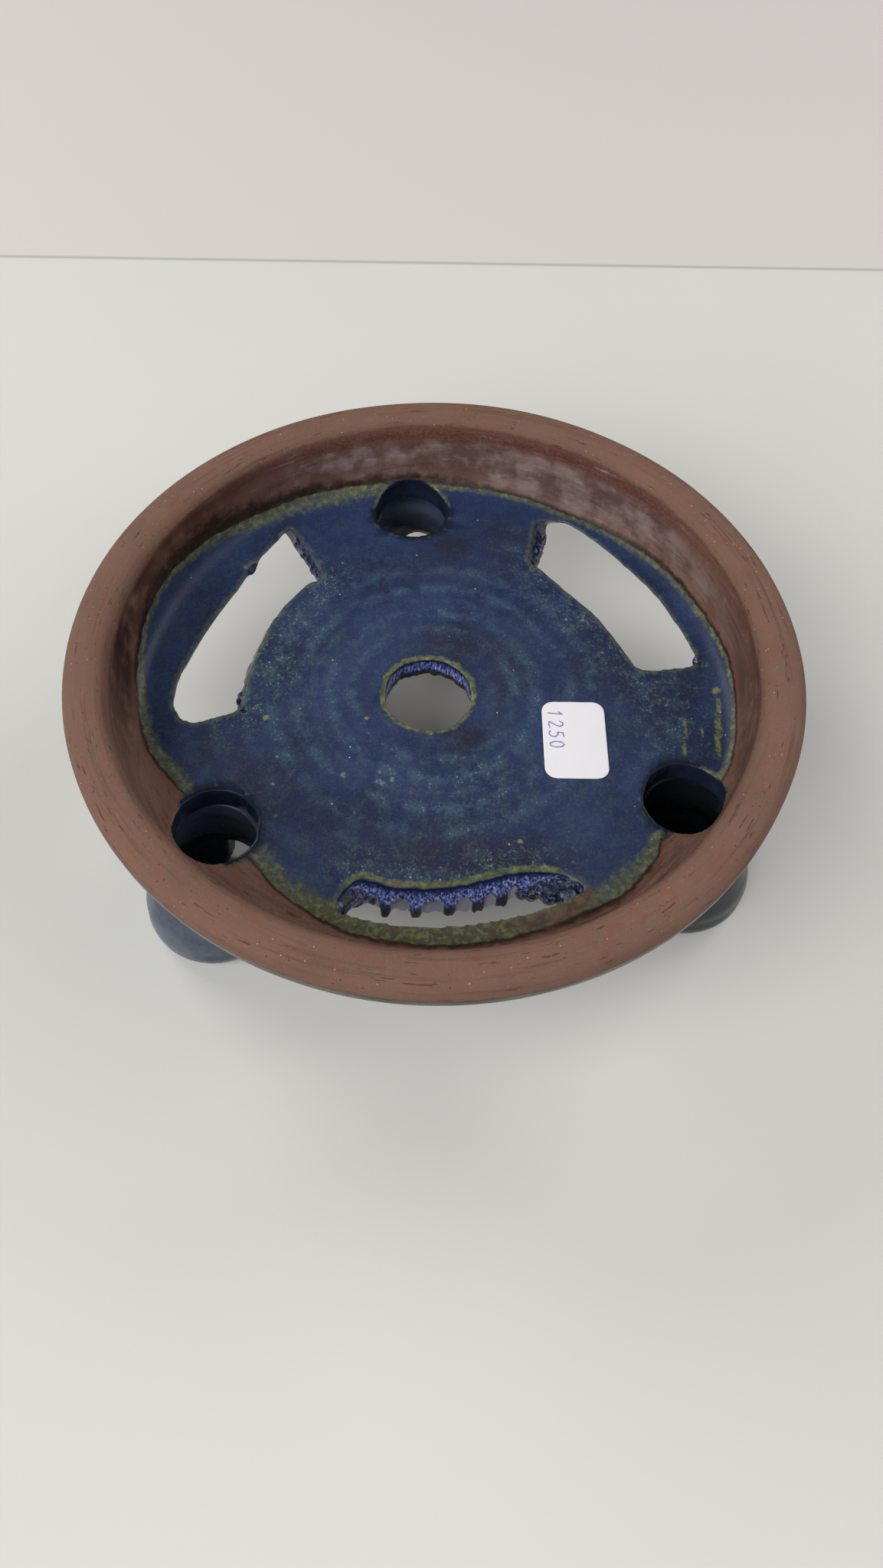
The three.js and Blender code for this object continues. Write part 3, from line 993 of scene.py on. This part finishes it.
# %% Pen strokes
# Each stroke is drawn in a box 1 high, with x to the right and y up.
DIGITS = {
    "1": [[(0.05, 0.72), (0.26, 1.0), (0.22, 0.5), (0.16, 0.0)]],
    "2": [[(0.04, 0.76), (0.14, 0.98), (0.36, 0.98), (0.46, 0.78), (0.34, 0.48), (0.04, 0.05), (0.3, 0.02),
           (0.56, 0.08)]],
    "5": [[(0.5, 1.0), (0.16, 0.96), (0.1, 0.58), (0.32, 0.62), (0.48, 0.42), (0.42, 0.12), (0.2, -0.02),
           (0.0, 0.1)]],
    "0": [[(0.3, 1.0), (0.08, 0.78), (0.04, 0.36), (0.18, 0.03), (0.4, 0.08), (0.52, 0.46), (0.46, 0.86),
           (0.28, 1.0)]],
}
NUMBER = "1250"
DIGIT_HEIGHT = 3.3
DIGIT_STEP = 2.75
NUMBER_START = (-STICKER_WIDTH / 2 + 1.4, STICKER_LENGTH / 2 - 2.6)


def pen_lines():
    """The strokes' short lines on the sticker. The number reads downwards, with its tops to the right."""
    lines = []
    for index, digit in enumerate(NUMBER):
        for stroke in DIGITS[digit]:
            places = [
                (NUMBER_START[0] + y * DIGIT_HEIGHT,
                 NUMBER_START[1] - x * DIGIT_HEIGHT - index * DIGIT_STEP)
                for x, y in stroke
            ]
            lines += list(zip(places, places[1:]))
    return lines


def distance_to_line(points, start, end):
    start, end = np.array(start), np.array(end)
    along = end - start
    share = np.clip((points - start) @ along / (along @ along), 0, 1)
    return np.linalg.norm(points - start - share[:, None] * along, axis=1)


paper_points = read_points(sticker.data)
ink = np.min([distance_to_line(paper_points[:, :2], *line) for line in pen_lines()], axis=0)
store(sticker.data, {"ink": ink})

turn = math.radians(STICKER_TURN)
turn_matrix = np.array([[math.cos(turn), math.sin(turn)], [-math.sin(turn), math.cos(turn)]])
curl = np.prod((paper_points[:, :2] / (STICKER_WIDTH / 2, STICKER_LENGTH / 2)) ** 4, axis=1)
paper_points[:, :2] = paper_points[:, :2] @ turn_matrix + STICKER_MIDDLE[:2]
relief = floor_relief(paper_points[:, 0], paper_points[:, 1])
relief = relief.max() + PAPER_GIVE * (relief - relief.max())
paper_points[:, 2] = FLOOR_TOP + relief - PAPER_SINK + CORNER_LIFT * curl
write_points(sticker.data, paper_points)
thickness = sticker.modifiers.new("thickness", "SOLIDIFY")
thickness.thickness = PAPER
thickness.offset = 1
settle(sticker)
print("sticker:", len(sticker.data.polygons), "faces")

# %% [markdown]
# A bench for mixing finishes
#
# A finish is a tree of nodes. This class keeps the tree and gives each common node a short name, so that
# the recipes below read like notes in a glaze book. Every method adds a node and returns its output.
# Object coordinates are turned to millimetres first, so every size in a recipe is a real one.

# %% The Finish class
def is_socket(value):
    return isinstance(value, bpy.types.NodeSocket)


class Finish:
    def __init__(self, name):
        self.material = bpy.data.materials.new(name)
        self.material.use_nodes = True
        self.tree = self.material.node_tree
        self.shader = self.tree.nodes["Principled BSDF"]
        coordinates = self.add("TexCoord").outputs["Object"]
        self.place = self.scaled(coordinates, 1 / MM)

    def set(self, socket, value):
        """Links an output to a socket, or writes a plain value on it."""
        if is_socket(value):
            self.tree.links.new(value, socket)
        else:
            socket.default_value = value

    def add(self, kind, inputs=None, **settings):
        node = self.tree.nodes.new("ShaderNode" + kind)
        for key, value in settings.items():
            setattr(node, key, value)
        for key, value in (inputs or {}).items():
            self.set(node.inputs[key], value)
        return node

    def math(self, operation, a, b=0.0):
        return self.add("Math", {0: a, 1: b}, operation=operation).outputs[0]

    def plus(self, a, b):
        return self.math("ADD", a, b)

    def times(self, a, *others):
        for b in others:
            a = self.math("MULTIPLY", a, b)
        return a

    def most(self, a, b):
        return self.math("MAXIMUM", a, b)

    def scaled(self, vector, factor):
        return self.add("VectorMath", {0: vector, "Scale": factor}, operation="SCALE").outputs[0]

    def squeezed(self, factors):
        """The place with each of its three numbers multiplied by its own factor."""
        return self.add("VectorMath", {0: self.place, 1: factors}, operation="MULTIPLY").outputs[0]

    def step(self, value, low, high):
        """0 below low, 1 above high and smooth between. With low above high it is the other way round."""
        return self.add(
            "MapRange", {"Value": value, "From Min": low, "From Max": high}, interpolation_type="SMOOTHSTEP"
        ).outputs[0]

    def between(self, value, low, high, soft):
        above_low = self.step(value, low - soft, low + soft)
        return self.times(above_low, self.step(value, high + soft, high - soft))

    def blend(self, share, a, b):
        """Mixes two numbers, or two colours. A colour is an output or its three 0 to 255 values."""
        coloured = any(
            isinstance(value, tuple) or is_socket(value) and value.type == "RGBA" for value in (a, b)
        )
        kind, letters = ("RGBA", "Color") if coloured else ("FLOAT", "Float")
        node = self.add("Mix", data_type=kind)
        for name, value in (("Factor_Float", share), ("A_" + letters, a), ("B_" + letters, b)):
            socket = next(s for s in node.inputs if s.identifier == name)
            self.set(socket, srgb(*value) if isinstance(value, tuple) else value)
        return next(s for s in node.outputs if s.identifier == "Result_" + letters)

    def coats(self, colour, *layers):
        """Lays coats over a colour in turn. Each has its own mask, strength and colour."""
        for mask, strength, coat in layers:
            colour = self.blend(self.times(mask, strength), colour, coat)
        return colour

    def mark(self, name):
        return self.add("Attribute", attribute_name=name).outputs["Fac"]

    def grain(self, size, detail=2.0, roughness=0.5, place=None, seed=0.0):
        """Cloudy noise from 0 to 1, with clouds about as wide as size."""
        return self.add("TexNoise", {
            "Vector": place or self.place, "W": seed, "Scale": 1 / size, "Detail": detail,
            "Roughness": roughness,
        }, noise_dimensions="4D").outputs["Fac"]

    def dots(self, spacing, radius, share, soft=0.1):
        """Round dots in about this share of cells of this spacing, 1 inside a dot."""
        cells = self.add("TexVoronoi", {"Vector": self.place, "Scale": 1 / spacing})
        chosen = self.add("SeparateColor", {0: cells.outputs["Color"]})
        near = self.step(
            cells.outputs["Distance"], (radius + soft) / spacing, max(0.0, radius - soft) / spacing
        )
        return self.times(near, self.step(chosen.outputs[0], 1 - share + 0.01, 1 - share + 0.03))

    def spots(self, places, seed=0.0, tall=1.0):
        """Soft-edged spots at fixed places on the floor, each given as x, y and half its width."""
        flat = self.squeezed((1.0, 1.0 / tall, 0.0))
        uneven = self.times(self.math("SUBTRACT", self.grain(0.9, 2.0, 0.6, seed=seed), 0.5), 1.6)
        inside = 0.0
        for x, y, radius in places:
            centre = (x, y / tall, 0.0)
            away = self.add("VectorMath", {0: flat, 1: centre}, operation="DISTANCE").outputs["Value"]
            inside = self.most(inside, self.step(self.plus(self.times(away, 1 / radius), uneven), 1.25, 0.45))
        return inside

    def finish(self, colour, roughness, height):
        """Wires the shader. The height of the bumps is in millimetres."""
        bump = self.add("Bump", {"Height": height, "Distance": MM, "Strength": 1.0})
        self.set(self.shader.inputs["Base Color"], colour)
        self.set(self.shader.inputs["Roughness"], roughness)
        self.set(self.shader.inputs["Normal"], bump.outputs[0])
        return self.material


def lathe_place(f, stretch, along):
    """Coordinates that run round the pot slowly and along its profile quickly, for marks of turning."""
    split = f.add("SeparateXYZ", {0: f.place})
    flat = f.add("CombineXYZ", {0: split.outputs[0], 1: split.outputs[1]}).outputs[0]
    around = f.add("VectorMath", {0: flat}, operation="NORMALIZE").outputs[0]
    rise = f.add("CombineXYZ", {2: along}).outputs[0]
    wall_radius = 70.0
    return f.add(
        "VectorMath", {0: f.scaled(around, wall_radius / stretch), 1: rise}, operation="ADD"
    ).outputs[0]


# %% [markdown]
# Bare clay
#
# The lip is wiped clean of glaze: iron-rich stoneware, matte and brown, with pale grog, tiny pits and
# faint lines of turning. A recipe returns its colour, its roughness and its height in millimetres, so that
# the pot's one material can mix several recipes.

# %% Recipe for bare clay
def clay_recipe(f, along):
    turning = f.grain(1.0, 3.0, 0.6, lathe_place(f, 26.0, along), 2.0)
    cloud = f.grain(13.0, 3.0, 0.6, seed=1.0)
    patch = f.grain(4.0, 4.0, 0.65, seed=4.0)
    fine = f.grain(0.5, 3.0, 0.7, seed=3.0)
    scratches = f.step(f.grain(0.8, 3.0, 0.6, lathe_place(f, 7.0, along), 8.0), 0.62, 0.7)
    grog = f.dots(1.5, 0.13, 0.4, 0.07)
    pits = f.dots(1.4, 0.12, 0.42, 0.07)
    colour = f.coats(
        f.blend(cloud, (101, 75, 64), (123, 93, 79)),
        (f.step(patch, 0.5, 0.68), 0.4, (120, 74, 60)),
        (f.step(turning, 0.52, 0.75), 0.6, (80, 56, 46)),
        (f.step(fine, 0.5, 0.8), 0.35, (150, 120, 102)),
        (scratches, 0.7, (66, 46, 38)),
        (grog, 0.75, (190, 162, 134)),
        (pits, 0.75, (52, 38, 34)),
    )
    height = f.plus(f.times(fine, 0.1), f.times(turning, 0.16))
    height = f.plus(height, f.times(f.most(pits, scratches), -0.12))
    return colour, f.plus(0.62, f.times(fine, 0.2)), height


# %% [markdown]
# Flashed wall
#
# Above its edge the glaze left a thin wash on the wall. At the back it is purple-grey with a red band under
# the lip.
# The left wall, which lies in shade, is painted dark brown as painted shade, and the right wall a weaker dark
# brown.

# %% Recipe for the wall
def wall_recipe(f, along, past_wall, clay):
    drag = f.grain(1.0, 4.0, 0.65, lathe_place(f, 9.0, along), 5.0)
    smear = f.grain(6.0, 4.0, 0.6, seed=6.0)
    fine = f.grain(0.7, 3.0, 0.6, seed=7.0)
    under_lip = f.step(f.plus(past_wall, f.times(smear, 2.0)), -4.2, -1.2)
    red_band = f.blend(f.step(fine, 0.4, 0.6), (88, 54, 46), (110, 68, 58))
    violet = f.blend(f.step(smear, 0.35, 0.65), (94, 71, 66), (134, 114, 110))
    dashes = f.times(f.step(drag, 0.44, 0.34), f.step(smear, 0.45, 0.6))
    colour = f.coats(
        clay,
        # painted shade on the left wall, and a weaker dark brown on the right wall
        (f.mark("left_shade_right_dark"), f.step(smear, 0.25, 0.6), (56, 35, 30)),
        (f.mark("purple"), f.step(smear, 0.1, 0.42), f.coats(violet, (under_lip, 0.85, red_band))),
        (f.step(drag, 0.5, 0.72), 0.45, (54, 36, 32)),
        (f.times(dashes, f.mark("purple")), 0.6, (150, 140, 138)),
        (f.times(f.mark("strips"), f.step(drag, 0.42, 0.56)), 0.55, (58, 44, 36)),
    )
    height = f.plus(f.times(drag, 0.14), f.times(fine, 0.06))
    return colour, f.plus(0.45, f.times(fine, 0.25)), height


# %% [markdown]
# The blue glaze
#
# The glaze pools to deep indigo. Where it is thinner, over the ring crests and beside the slots, it breaks
# to a cloudy teal with a fine pale speckle. Where it is thinnest, at its own edge and on every cut edge,
# the iron shows through it as a yellow olive. A few pinholes are painted as white dots, which are painted
# highlights for the glints that they catch. The largest spots of the real pot are set at their own places
# on the floor.

# %% Recipe for the blue glaze
YELLOW_SPOTS = [(-38.1, -7.3, 0.8), (-15.3, -6.2, 0.6), (19.5, -36.5, 0.6), (64.8, 5.5, 1.0)]
YELLOW_STREAKS = [
    (65.0, 1.0, 0.6), (64.5, -4.5, 0.8), (63.9, -9.5, 0.7), (57.0, -5.0, 0.5), (56.4, -10.5, 0.5),
    (60.8, -6.0, 0.35),
]
STREAK_LENGTH = 5.0
PALE_SPOTS = [
    (-11.0, -23.2, 1.0), (-19.3, -21.8, 0.8), (-8.6, -22.4, 0.6), (-11.5, -20.6, 0.4), (32.0, 23.8, 0.6),
    (34.4, 25.6, 0.5), (30.6, 25.4, 0.4), (-34.4, -17.6, 0.4), (-34.3, -24.8, 0.5), (13.3, -42.7, 0.5),
]
RUST_SPOTS = [(-4.4, -25.6, 0.6), (-33.0, -32.8, 0.6)]
DARK_SPOTS = [(2.3, 47.8, 6.0), (-2.6, 46.8, 3.6), (8.8, -10.2, 3.2)]


def blue_recipe(f):
    cloud = f.grain(18.0, 3.0, 0.55, seed=11.0)
    mottle = f.grain(3.2, 6.0, 0.7, seed=12.0)
    fine = f.grain(0.8, 3.0, 0.65, seed=13.0)
    grit = f.grain(0.35, 2.0, 0.7, seed=15.0)
    ring = f.mark("ring")
    teal = f.mark("teal")
    teal_share = f.times(teal, f.step(mottle, 0.42, 0.66), f.plus(0.3, f.times(ring, 0.7)))
    olive_fleck = f.times(teal, f.step(f.plus(f.times(mottle, 0.4), f.times(fine, 0.6)), 0.5, 0.6))
    clusters = f.step(f.plus(f.times(ring, 0.5), f.times(teal, 0.6)), 0.15, 0.75)
    speckle = f.times(f.dots(0.8, 0.16, 0.7, 0.09), clusters, f.step(mottle, 0.42, 0.58))
    streaks = f.times(f.spots(YELLOW_STREAKS, 20.0, STREAK_LENGTH), f.step(fine, 0.34, 0.56))
    # painted highlights: white dots for the glints in the glaze's pinholes
    pin_glints = f.dots(3.0, 0.17, 0.3, 0.08)
    colour = f.coats(
        f.blend(f.step(cloud, 0.35, 0.65), (34, 39, 63), (42, 53, 84)),
        (f.times(f.mark("back"), f.step(mottle, 0.35, 0.6)), 0.7, (37, 53, 94)),
        (f.mark("plum"), f.step(mottle, 0.25, 0.5), (40, 35, 48)),
        (f.step(mottle, 0.54, 0.7), 0.55, (20, 24, 40)),
        (teal_share, 0.75, (44, 68, 80)),
        (f.times(ring, f.step(mottle, 0.38, 0.58)), 0.62, (66, 84, 106)),
        (olive_fleck, 0.6, (80, 92, 80)),
        (f.step(grit, 0.42, 0.7), f.plus(0.12, f.times(teal_share, 0.3)), (92, 112, 132)),
        (speckle, 0.75, (124, 150, 158)),
        (f.times(f.spots(DARK_SPOTS, 16.0), f.step(mottle, 0.35, 0.55)), 0.7, (38, 36, 46)),
        (f.spots(YELLOW_SPOTS, 17.0), 0.7, (128, 134, 86)),
        (streaks, 0.75, (112, 114, 66)),
        (f.spots(RUST_SPOTS, 18.0), 0.8, (84, 72, 54)),
        (f.times(f.spots(PALE_SPOTS, 19.0), f.step(fine, 0.36, 0.56)), 0.45, (132, 148, 152)),
        # painted highlights of the pinholes
        (pin_glints, 0.8, (168, 182, 188)),
    )
    height = f.plus(f.times(f.grain(2.2, 2.0, 0.5, seed=14.0), 0.06), f.times(fine, 0.03))
    height = f.plus(height, f.times(f.most(pin_glints, f.times(speckle, 0.4)), -0.06))
    near_cut = f.step(f.mark("cut"), 3.5, 1.0)
    rough = f.blend(near_cut, f.plus(0.28, f.times(mottle, 0.2)), f.plus(0.14, f.times(mottle, 0.16)))
    return colour, rough, height


# %% [markdown]
# Breaking at the edges
#
# Both recipes here share one idea: a mark plus some noise picks a band. The fringe follows the glaze's
# edge over the wall. The cut edges break to olive on top, then show navy and fibrous lavender down the
# wall, and end in dark glass where the runs froze.

# %% Recipes for edges
def fringe_colour(f):
    cloud = f.grain(1.6, 5.0, 0.7, seed=21.0)
    return f.coats(
        f.blend(f.step(cloud, 0.35, 0.65), (64, 72, 60), (106, 108, 76)),
        (f.step(cloud, 0.56, 0.72), 0.6, (148, 146, 100)),
    )


def cut_wall_colour(f, cut, rough_edge):
    deep = f.times(f.plus(cut, rough_edge), -1.0)
    fibres = f.grain(0.5, 4.0, 0.7, f.squeezed((1.0, 1.0, 0.3)), 23.0)
    lavender = f.times(f.mark("lavender"), f.between(deep, 1.7, 4.2, 0.8))
    alcove = f.plus(f.mark("alcove"), f.times(f.math("SUBTRACT", fibres, 0.5), 0.8))
    return f.coats(
        f.blend(f.step(deep, 0.4, 0.8), fringe_colour(f), (20, 28, 66)),
        (lavender, f.step(fibres, 0.4, 0.58), (104, 118, 176)),
        (f.times(lavender, f.step(fibres, 0.54, 0.64)), 0.8, (176, 182, 214)),
        (f.step(deep, 4.0, 5.0), 1.0, (44, 42, 44)),
        (f.step(alcove, 0.1, 0.35), 1.0, (38, 38, 44)),
        (f.step(alcove, 0.45, 0.95), 0.9, (126, 126, 138)),
    )


# %% [markdown]
# The pot's one material
#
# The finishes are mixed from the bottom up, as they lie on the pot: clay, the stained wall, the blue glaze,
# the olive fringe, the cut walls, the wells of the holes, and last the glaze outside. Colour, roughness and
# height are mixed with the same masks, so the gloss and the bump end where the colour does.

# %% Bare and stained clay
def bare_mix(f, along, waver):
    past_wall = f.mark("past_wall")
    stain = f.mark("stain")
    clay_colour, clay_rough, clay_height = clay_recipe(f, along)
    wall_colour, wall_rough, wall_height = wall_recipe(f, along, past_wall, clay_colour)
    on_wall = f.step(f.plus(past_wall, f.times(waver, 2.0)), 0.6, -0.6)
    # painted shade: a dark line where the lip's inner edge meets the wall, in the crease that the lip shades
    lip_crease_shade = f.between(f.plus(past_wall, f.times(waver, 2.4)), -0.3, 0.7, 0.6)
    dark = f.times(f.step(f.plus(stain, f.times(waver, 1.6)), 1.1, 0.3), on_wall)
    dark_colour = f.blend(f.step(f.grain(1.8, 4.0, 0.7, seed=33.0), 0.4, 0.65), (27, 20, 18), (50, 40, 31))
    flush = f.times(f.step(f.plus(stain, f.times(waver, 2.0)), 2.6, 1.4), on_wall)
    colour = f.coats(
        clay_colour,
        (lip_crease_shade, 0.6, (82, 48, 40)),
        (on_wall, 1.0, wall_colour),
        (flush, 0.4, (100, 64, 54)),
        (dark, 0.9, dark_colour),
    )
    rough = f.blend(dark, f.blend(on_wall, clay_rough, wall_rough), 0.38)
    return colour, rough, f.blend(on_wall, clay_height, wall_height)


# %% Glaze inside the dish
def inside_colour(f, blue, cut, waver, rough_edge):
    fringe = f.step(f.plus(f.mark("olive_band"), f.times(rough_edge, 1.5)), 1.15, 0.45)
    patchy = f.plus(0.6, f.times(f.step(f.grain(1.1, 3.0, 0.6, seed=37.0), 0.4, 0.6), 0.4))
    shelf = f.mark("shelf")
    top_edge = f.step(f.plus(cut, f.times(rough_edge, 3.0)), 1.2, 0.5)
    well_colour = f.blend(f.grain(3.0, 3.0, 0.6, seed=34.0), (14, 18, 32), (36, 46, 64))
    lump_colour = f.coats(
        (20, 22, 34), (f.step(f.grain(0.9, 4.0, 0.7, seed=35.0), 0.48, 0.66), 0.75, (132, 138, 186))
    )
    return f.coats(
        blue,
        (fringe, patchy, fringe_colour(f)),
        (shelf, f.plus(0.75, f.times(waver, 1.2)), (76, 72, 56)),
        (f.times(shelf, f.step(rough_edge, -0.02, 0.1)), 0.55, (122, 126, 82)),
        (top_edge, f.mark("broken_edge"), fringe_colour(f)),
        (f.step(cut, -0.25, -0.55), 1.0, cut_wall_colour(f, cut, rough_edge)),
        (f.mark("well"), 1.0, well_colour),
        (f.step(f.plus(f.mark("lump"), f.times(rough_edge, 0.6)), 0.35, 0.7), 1.0, lump_colour),
    )


# %% Mix the bowl's finish
def bowl_finish():
    f = Finish("dish_blue_glaze")
    f.shader.inputs["Specular IOR Level"].default_value = 0.15
    along = f.mark("along")
    cut = f.mark("cut")
    waver = f.math("SUBTRACT", f.grain(2.6, 5.0, 0.65, seed=31.0), 0.5)
    rough_edge = f.math("SUBTRACT", f.grain(1.4, 4.0, 0.65, seed=32.0), 0.5)
    colour, rough, height = bare_mix(f, along, waver)
    blue_colour, blue_rough, blue_height = blue_recipe(f)

    glazed = f.most(f.step(f.plus(f.mark("past_line"), f.times(waver, 2.0)), 0.25, -0.25), f.mark("well"))
    colour = f.blend(glazed, colour, inside_colour(f, blue_colour, cut, waver, rough_edge))
    rough = f.blend(glazed, rough, blue_rough)
    height = f.blend(glazed, f.plus(height, -0.12), blue_height)

    ridge = f.mark("bare_ridge")
    colour = f.blend(ridge, colour, f.blend(f.step(waver, -0.1, 0.1), (70, 60, 50), (98, 78, 64)))
    rough = f.blend(ridge, rough, 0.6)

    past_outer = f.mark("past_outer")
    drag = f.grain(1.0, 4.0, 0.65, lathe_place(f, 12.0, along), 36.0)
    outside_colour = f.coats(
        f.blend(f.step(drag, 0.4, 0.7), (54, 48, 44), (104, 90, 80)),
        (f.step(past_outer, 3.0, 6.0), 1.0, (26, 34, 46)),
        (f.step(past_outer, 0.5, 0.1), 1.0, (58, 44, 38)),
    )
    outside = f.step(f.plus(past_outer, f.times(waver, 1.4)), -0.2, 0.5)
    colour = f.blend(outside, colour, outside_colour)
    rough = f.blend(outside, rough, 0.24)
    height = f.blend(outside, height, f.times(drag, 0.08))
    return f.finish(colour, rough, height)


dish_glaze = bowl_finish()
print("dish finish:", len(dish_glaze.node_tree.nodes), "nodes")

# %% [markdown]
# Glaze on the feet
#
# The feet carry the same glaze, thick and dark. The right foot, which stands in shade, is painted darker
# outside and inside as painted shade. The glaze breaks to brown on the rim that stands on the table, which
# was wiped.

# %% Mix the feet's finish
def foot_finish():
    f = Finish("foot_dark_glaze")
    cloud = f.grain(5.0, 4.0, 0.6, seed=41.0)
    fine = f.grain(0.9, 3.0, 0.6, seed=42.0)
    # painted shade: the right foot is painted darker, outside and inside
    right_foot_shade = f.mark("dark")
    rim = f.step(f.plus(f.mark("height"), f.times(cloud, 1.5)), 1.5, 0.9)
    colour = f.coats(
        f.blend(f.step(cloud, 0.35, 0.65), (48, 58, 72), (70, 80, 94)),
        (right_foot_shade, 1.0, (28, 36, 42)),
        (f.mark("inside"), 0.9, f.blend(right_foot_shade, (64, 72, 88), (20, 24, 30))),
        (rim, 1.0, (92, 66, 54)),
        (f.dots(1.9, 0.16, 0.25, 0.08), 0.5, (110, 128, 134)),
    )
    height = f.plus(f.times(f.grain(2.4, 2.0, 0.5, seed=43.0), 0.1), f.times(fine, 0.02))
    return f.finish(colour, f.blend(rim, f.plus(0.22, f.times(cloud, 0.12)), 0.75), height)


foot_glaze = foot_finish()
print("foot finish:", len(foot_glaze.node_tree.nodes), "nodes")

# %% [markdown]
# Paper and pen
#
# The paper is white with a faint tooth. Ink is laid wherever the stored distance to a stroke is less than
# half the pen's width, and it is patchy, as a ballpoint is on coated paper.

# %% Mix the sticker's finish
def paper_finish():
    f = Finish("sticker_paper")
    tooth = f.grain(0.25, 3.0, 0.6, seed=51.0)
    line = f.step(f.plus(f.mark("ink"), f.times(tooth, 0.08)), 0.25, 0.15)
    patchy = f.plus(0.55, f.times(f.grain(0.9, 3.0, 0.6, seed=53.0), 0.6))
    colour = f.coats(
        f.blend(f.grain(6.0, 2.0, 0.5, seed=52.0), (222, 219, 222), (227, 224, 227)),
        (line, patchy, (84, 66, 158)),
    )
    return f.finish(colour, 0.5, f.times(tooth, 0.02))


paper = paper_finish()
print("paper finish:", len(paper.node_tree.nodes), "nodes")

# %% [markdown]
# Placing the pieces in the frame
#
# Each finished mesh is scaled from millimetres to metres, shaded smooth and given its finish. Then it is
# attached to the root body, and the CAD node that it stands for is hidden.

# %% Attach every piece
def attach(made, name, node, material):
    made.name = name
    made.data.name = name
    made.data.transform(Matrix.Scale(MM, 4))
    made.data.polygons.foreach_set("use_smooth", [True] * len(made.data.polygons))
    made.data.materials.clear()
    made.data.materials.append(material)
    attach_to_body(made, "root")
    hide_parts(node)


attach(dish, "dish", "bowl", dish_glaze)
for node, foot in zip(FEET, feet):
    attach(foot, node + "_bulb", node, foot_glaze)
attach(sticker, "price_label", "price_sticker", paper)

# %% [markdown]
# The table
#
# The pot stands on a pale, slightly satin table top. Behind it the photograph shows a seam and then a
# slightly pinker board, so the one floor plane changes its colour at that line.

# %% Floor
SEAM_DISTANCE = 213.6
SEAM_TURN = 2.6


def floor_finish():
    f = Finish("pale_table")
    split = f.add("SeparateXYZ", {0: f.place})
    turn = math.radians(SEAM_TURN)
    back = f.plus(f.times(split.outputs[1], math.cos(turn)), f.times(split.outputs[0], -math.sin(turn)))
    colour = f.coats(
        f.blend(f.grain(60.0, 3.0, 0.5, seed=61.0), (205, 204, 199), (209, 208, 203)),
        (f.step(back, SEAM_DISTANCE, SEAM_DISTANCE + 0.6), 1.0, (206, 200, 197)),
        (f.between(back, SEAM_DISTANCE - 0.4, SEAM_DISTANCE + 0.8, 0.8), 1.0, (168, 166, 160)),
    )
    return f.finish(colour, 0.75, f.times(f.grain(1.0, 2.0, 0.5, seed=62.0), 0.02))


floor_mesh = bmesh.new()
bmesh.ops.create_grid(floor_mesh, x_segments=1, y_segments=1, size=3.0)
floor = as_object(floor_mesh, "table")
floor.data.materials.append(floor_finish())

# %% [markdown]
# Soft studio light
#
# In the photograph the table is bright all round the pot, even under its rim, and only a faint shadow
# falls to the front right. So the light comes from several large soft lamps: the strongest from the front
# left, two from the back, and two weaker ones from the front and the right. None stands straight behind
# the pot, where the glaze would mirror it. The powers were set so that the table renders about as written.

# %% Lamps and world
# place and width in metres, and power in watts
LAMPS = {
    "front left": ((-0.9, -0.8, 1.0), 1.2, 20.5),
    "back left": ((-0.95, 0.85, 0.8), 0.8, 8.5),
    "back right": ((0.95, 0.85, 0.8), 0.8, 6.5),
    "front": ((0.0, -1.1, 1.2), 1.2, 6.0),
    "right": ((1.2, -0.2, 0.9), 1.2, 6.5),
}
WORLD_STRENGTH = 0.03


def soft_lamp(name, place, size, power):
    data = bpy.data.lights.new(name, "AREA")
    data.shape = "DISK"
    data.size = size
    data.energy = power
    lamp = bpy.data.objects.new(name, data)
    lamp.location = place
    lamp.rotation_mode = "QUATERNION"
    lamp.rotation_quaternion = Vector(place).to_track_quat("Z", "Y")
    bpy.context.scene.collection.objects.link(lamp)


for name, sizes in LAMPS.items():
    soft_lamp(name, *sizes)
world = bpy.data.worlds.new("studio")
world.use_nodes = True
background = world.node_tree.nodes["Background"]
background.inputs["Color"].default_value = (1.0, 1.0, 1.0, 1.0)
background.inputs["Strength"].default_value = WORLD_STRENGTH
bpy.context.scene.world = world
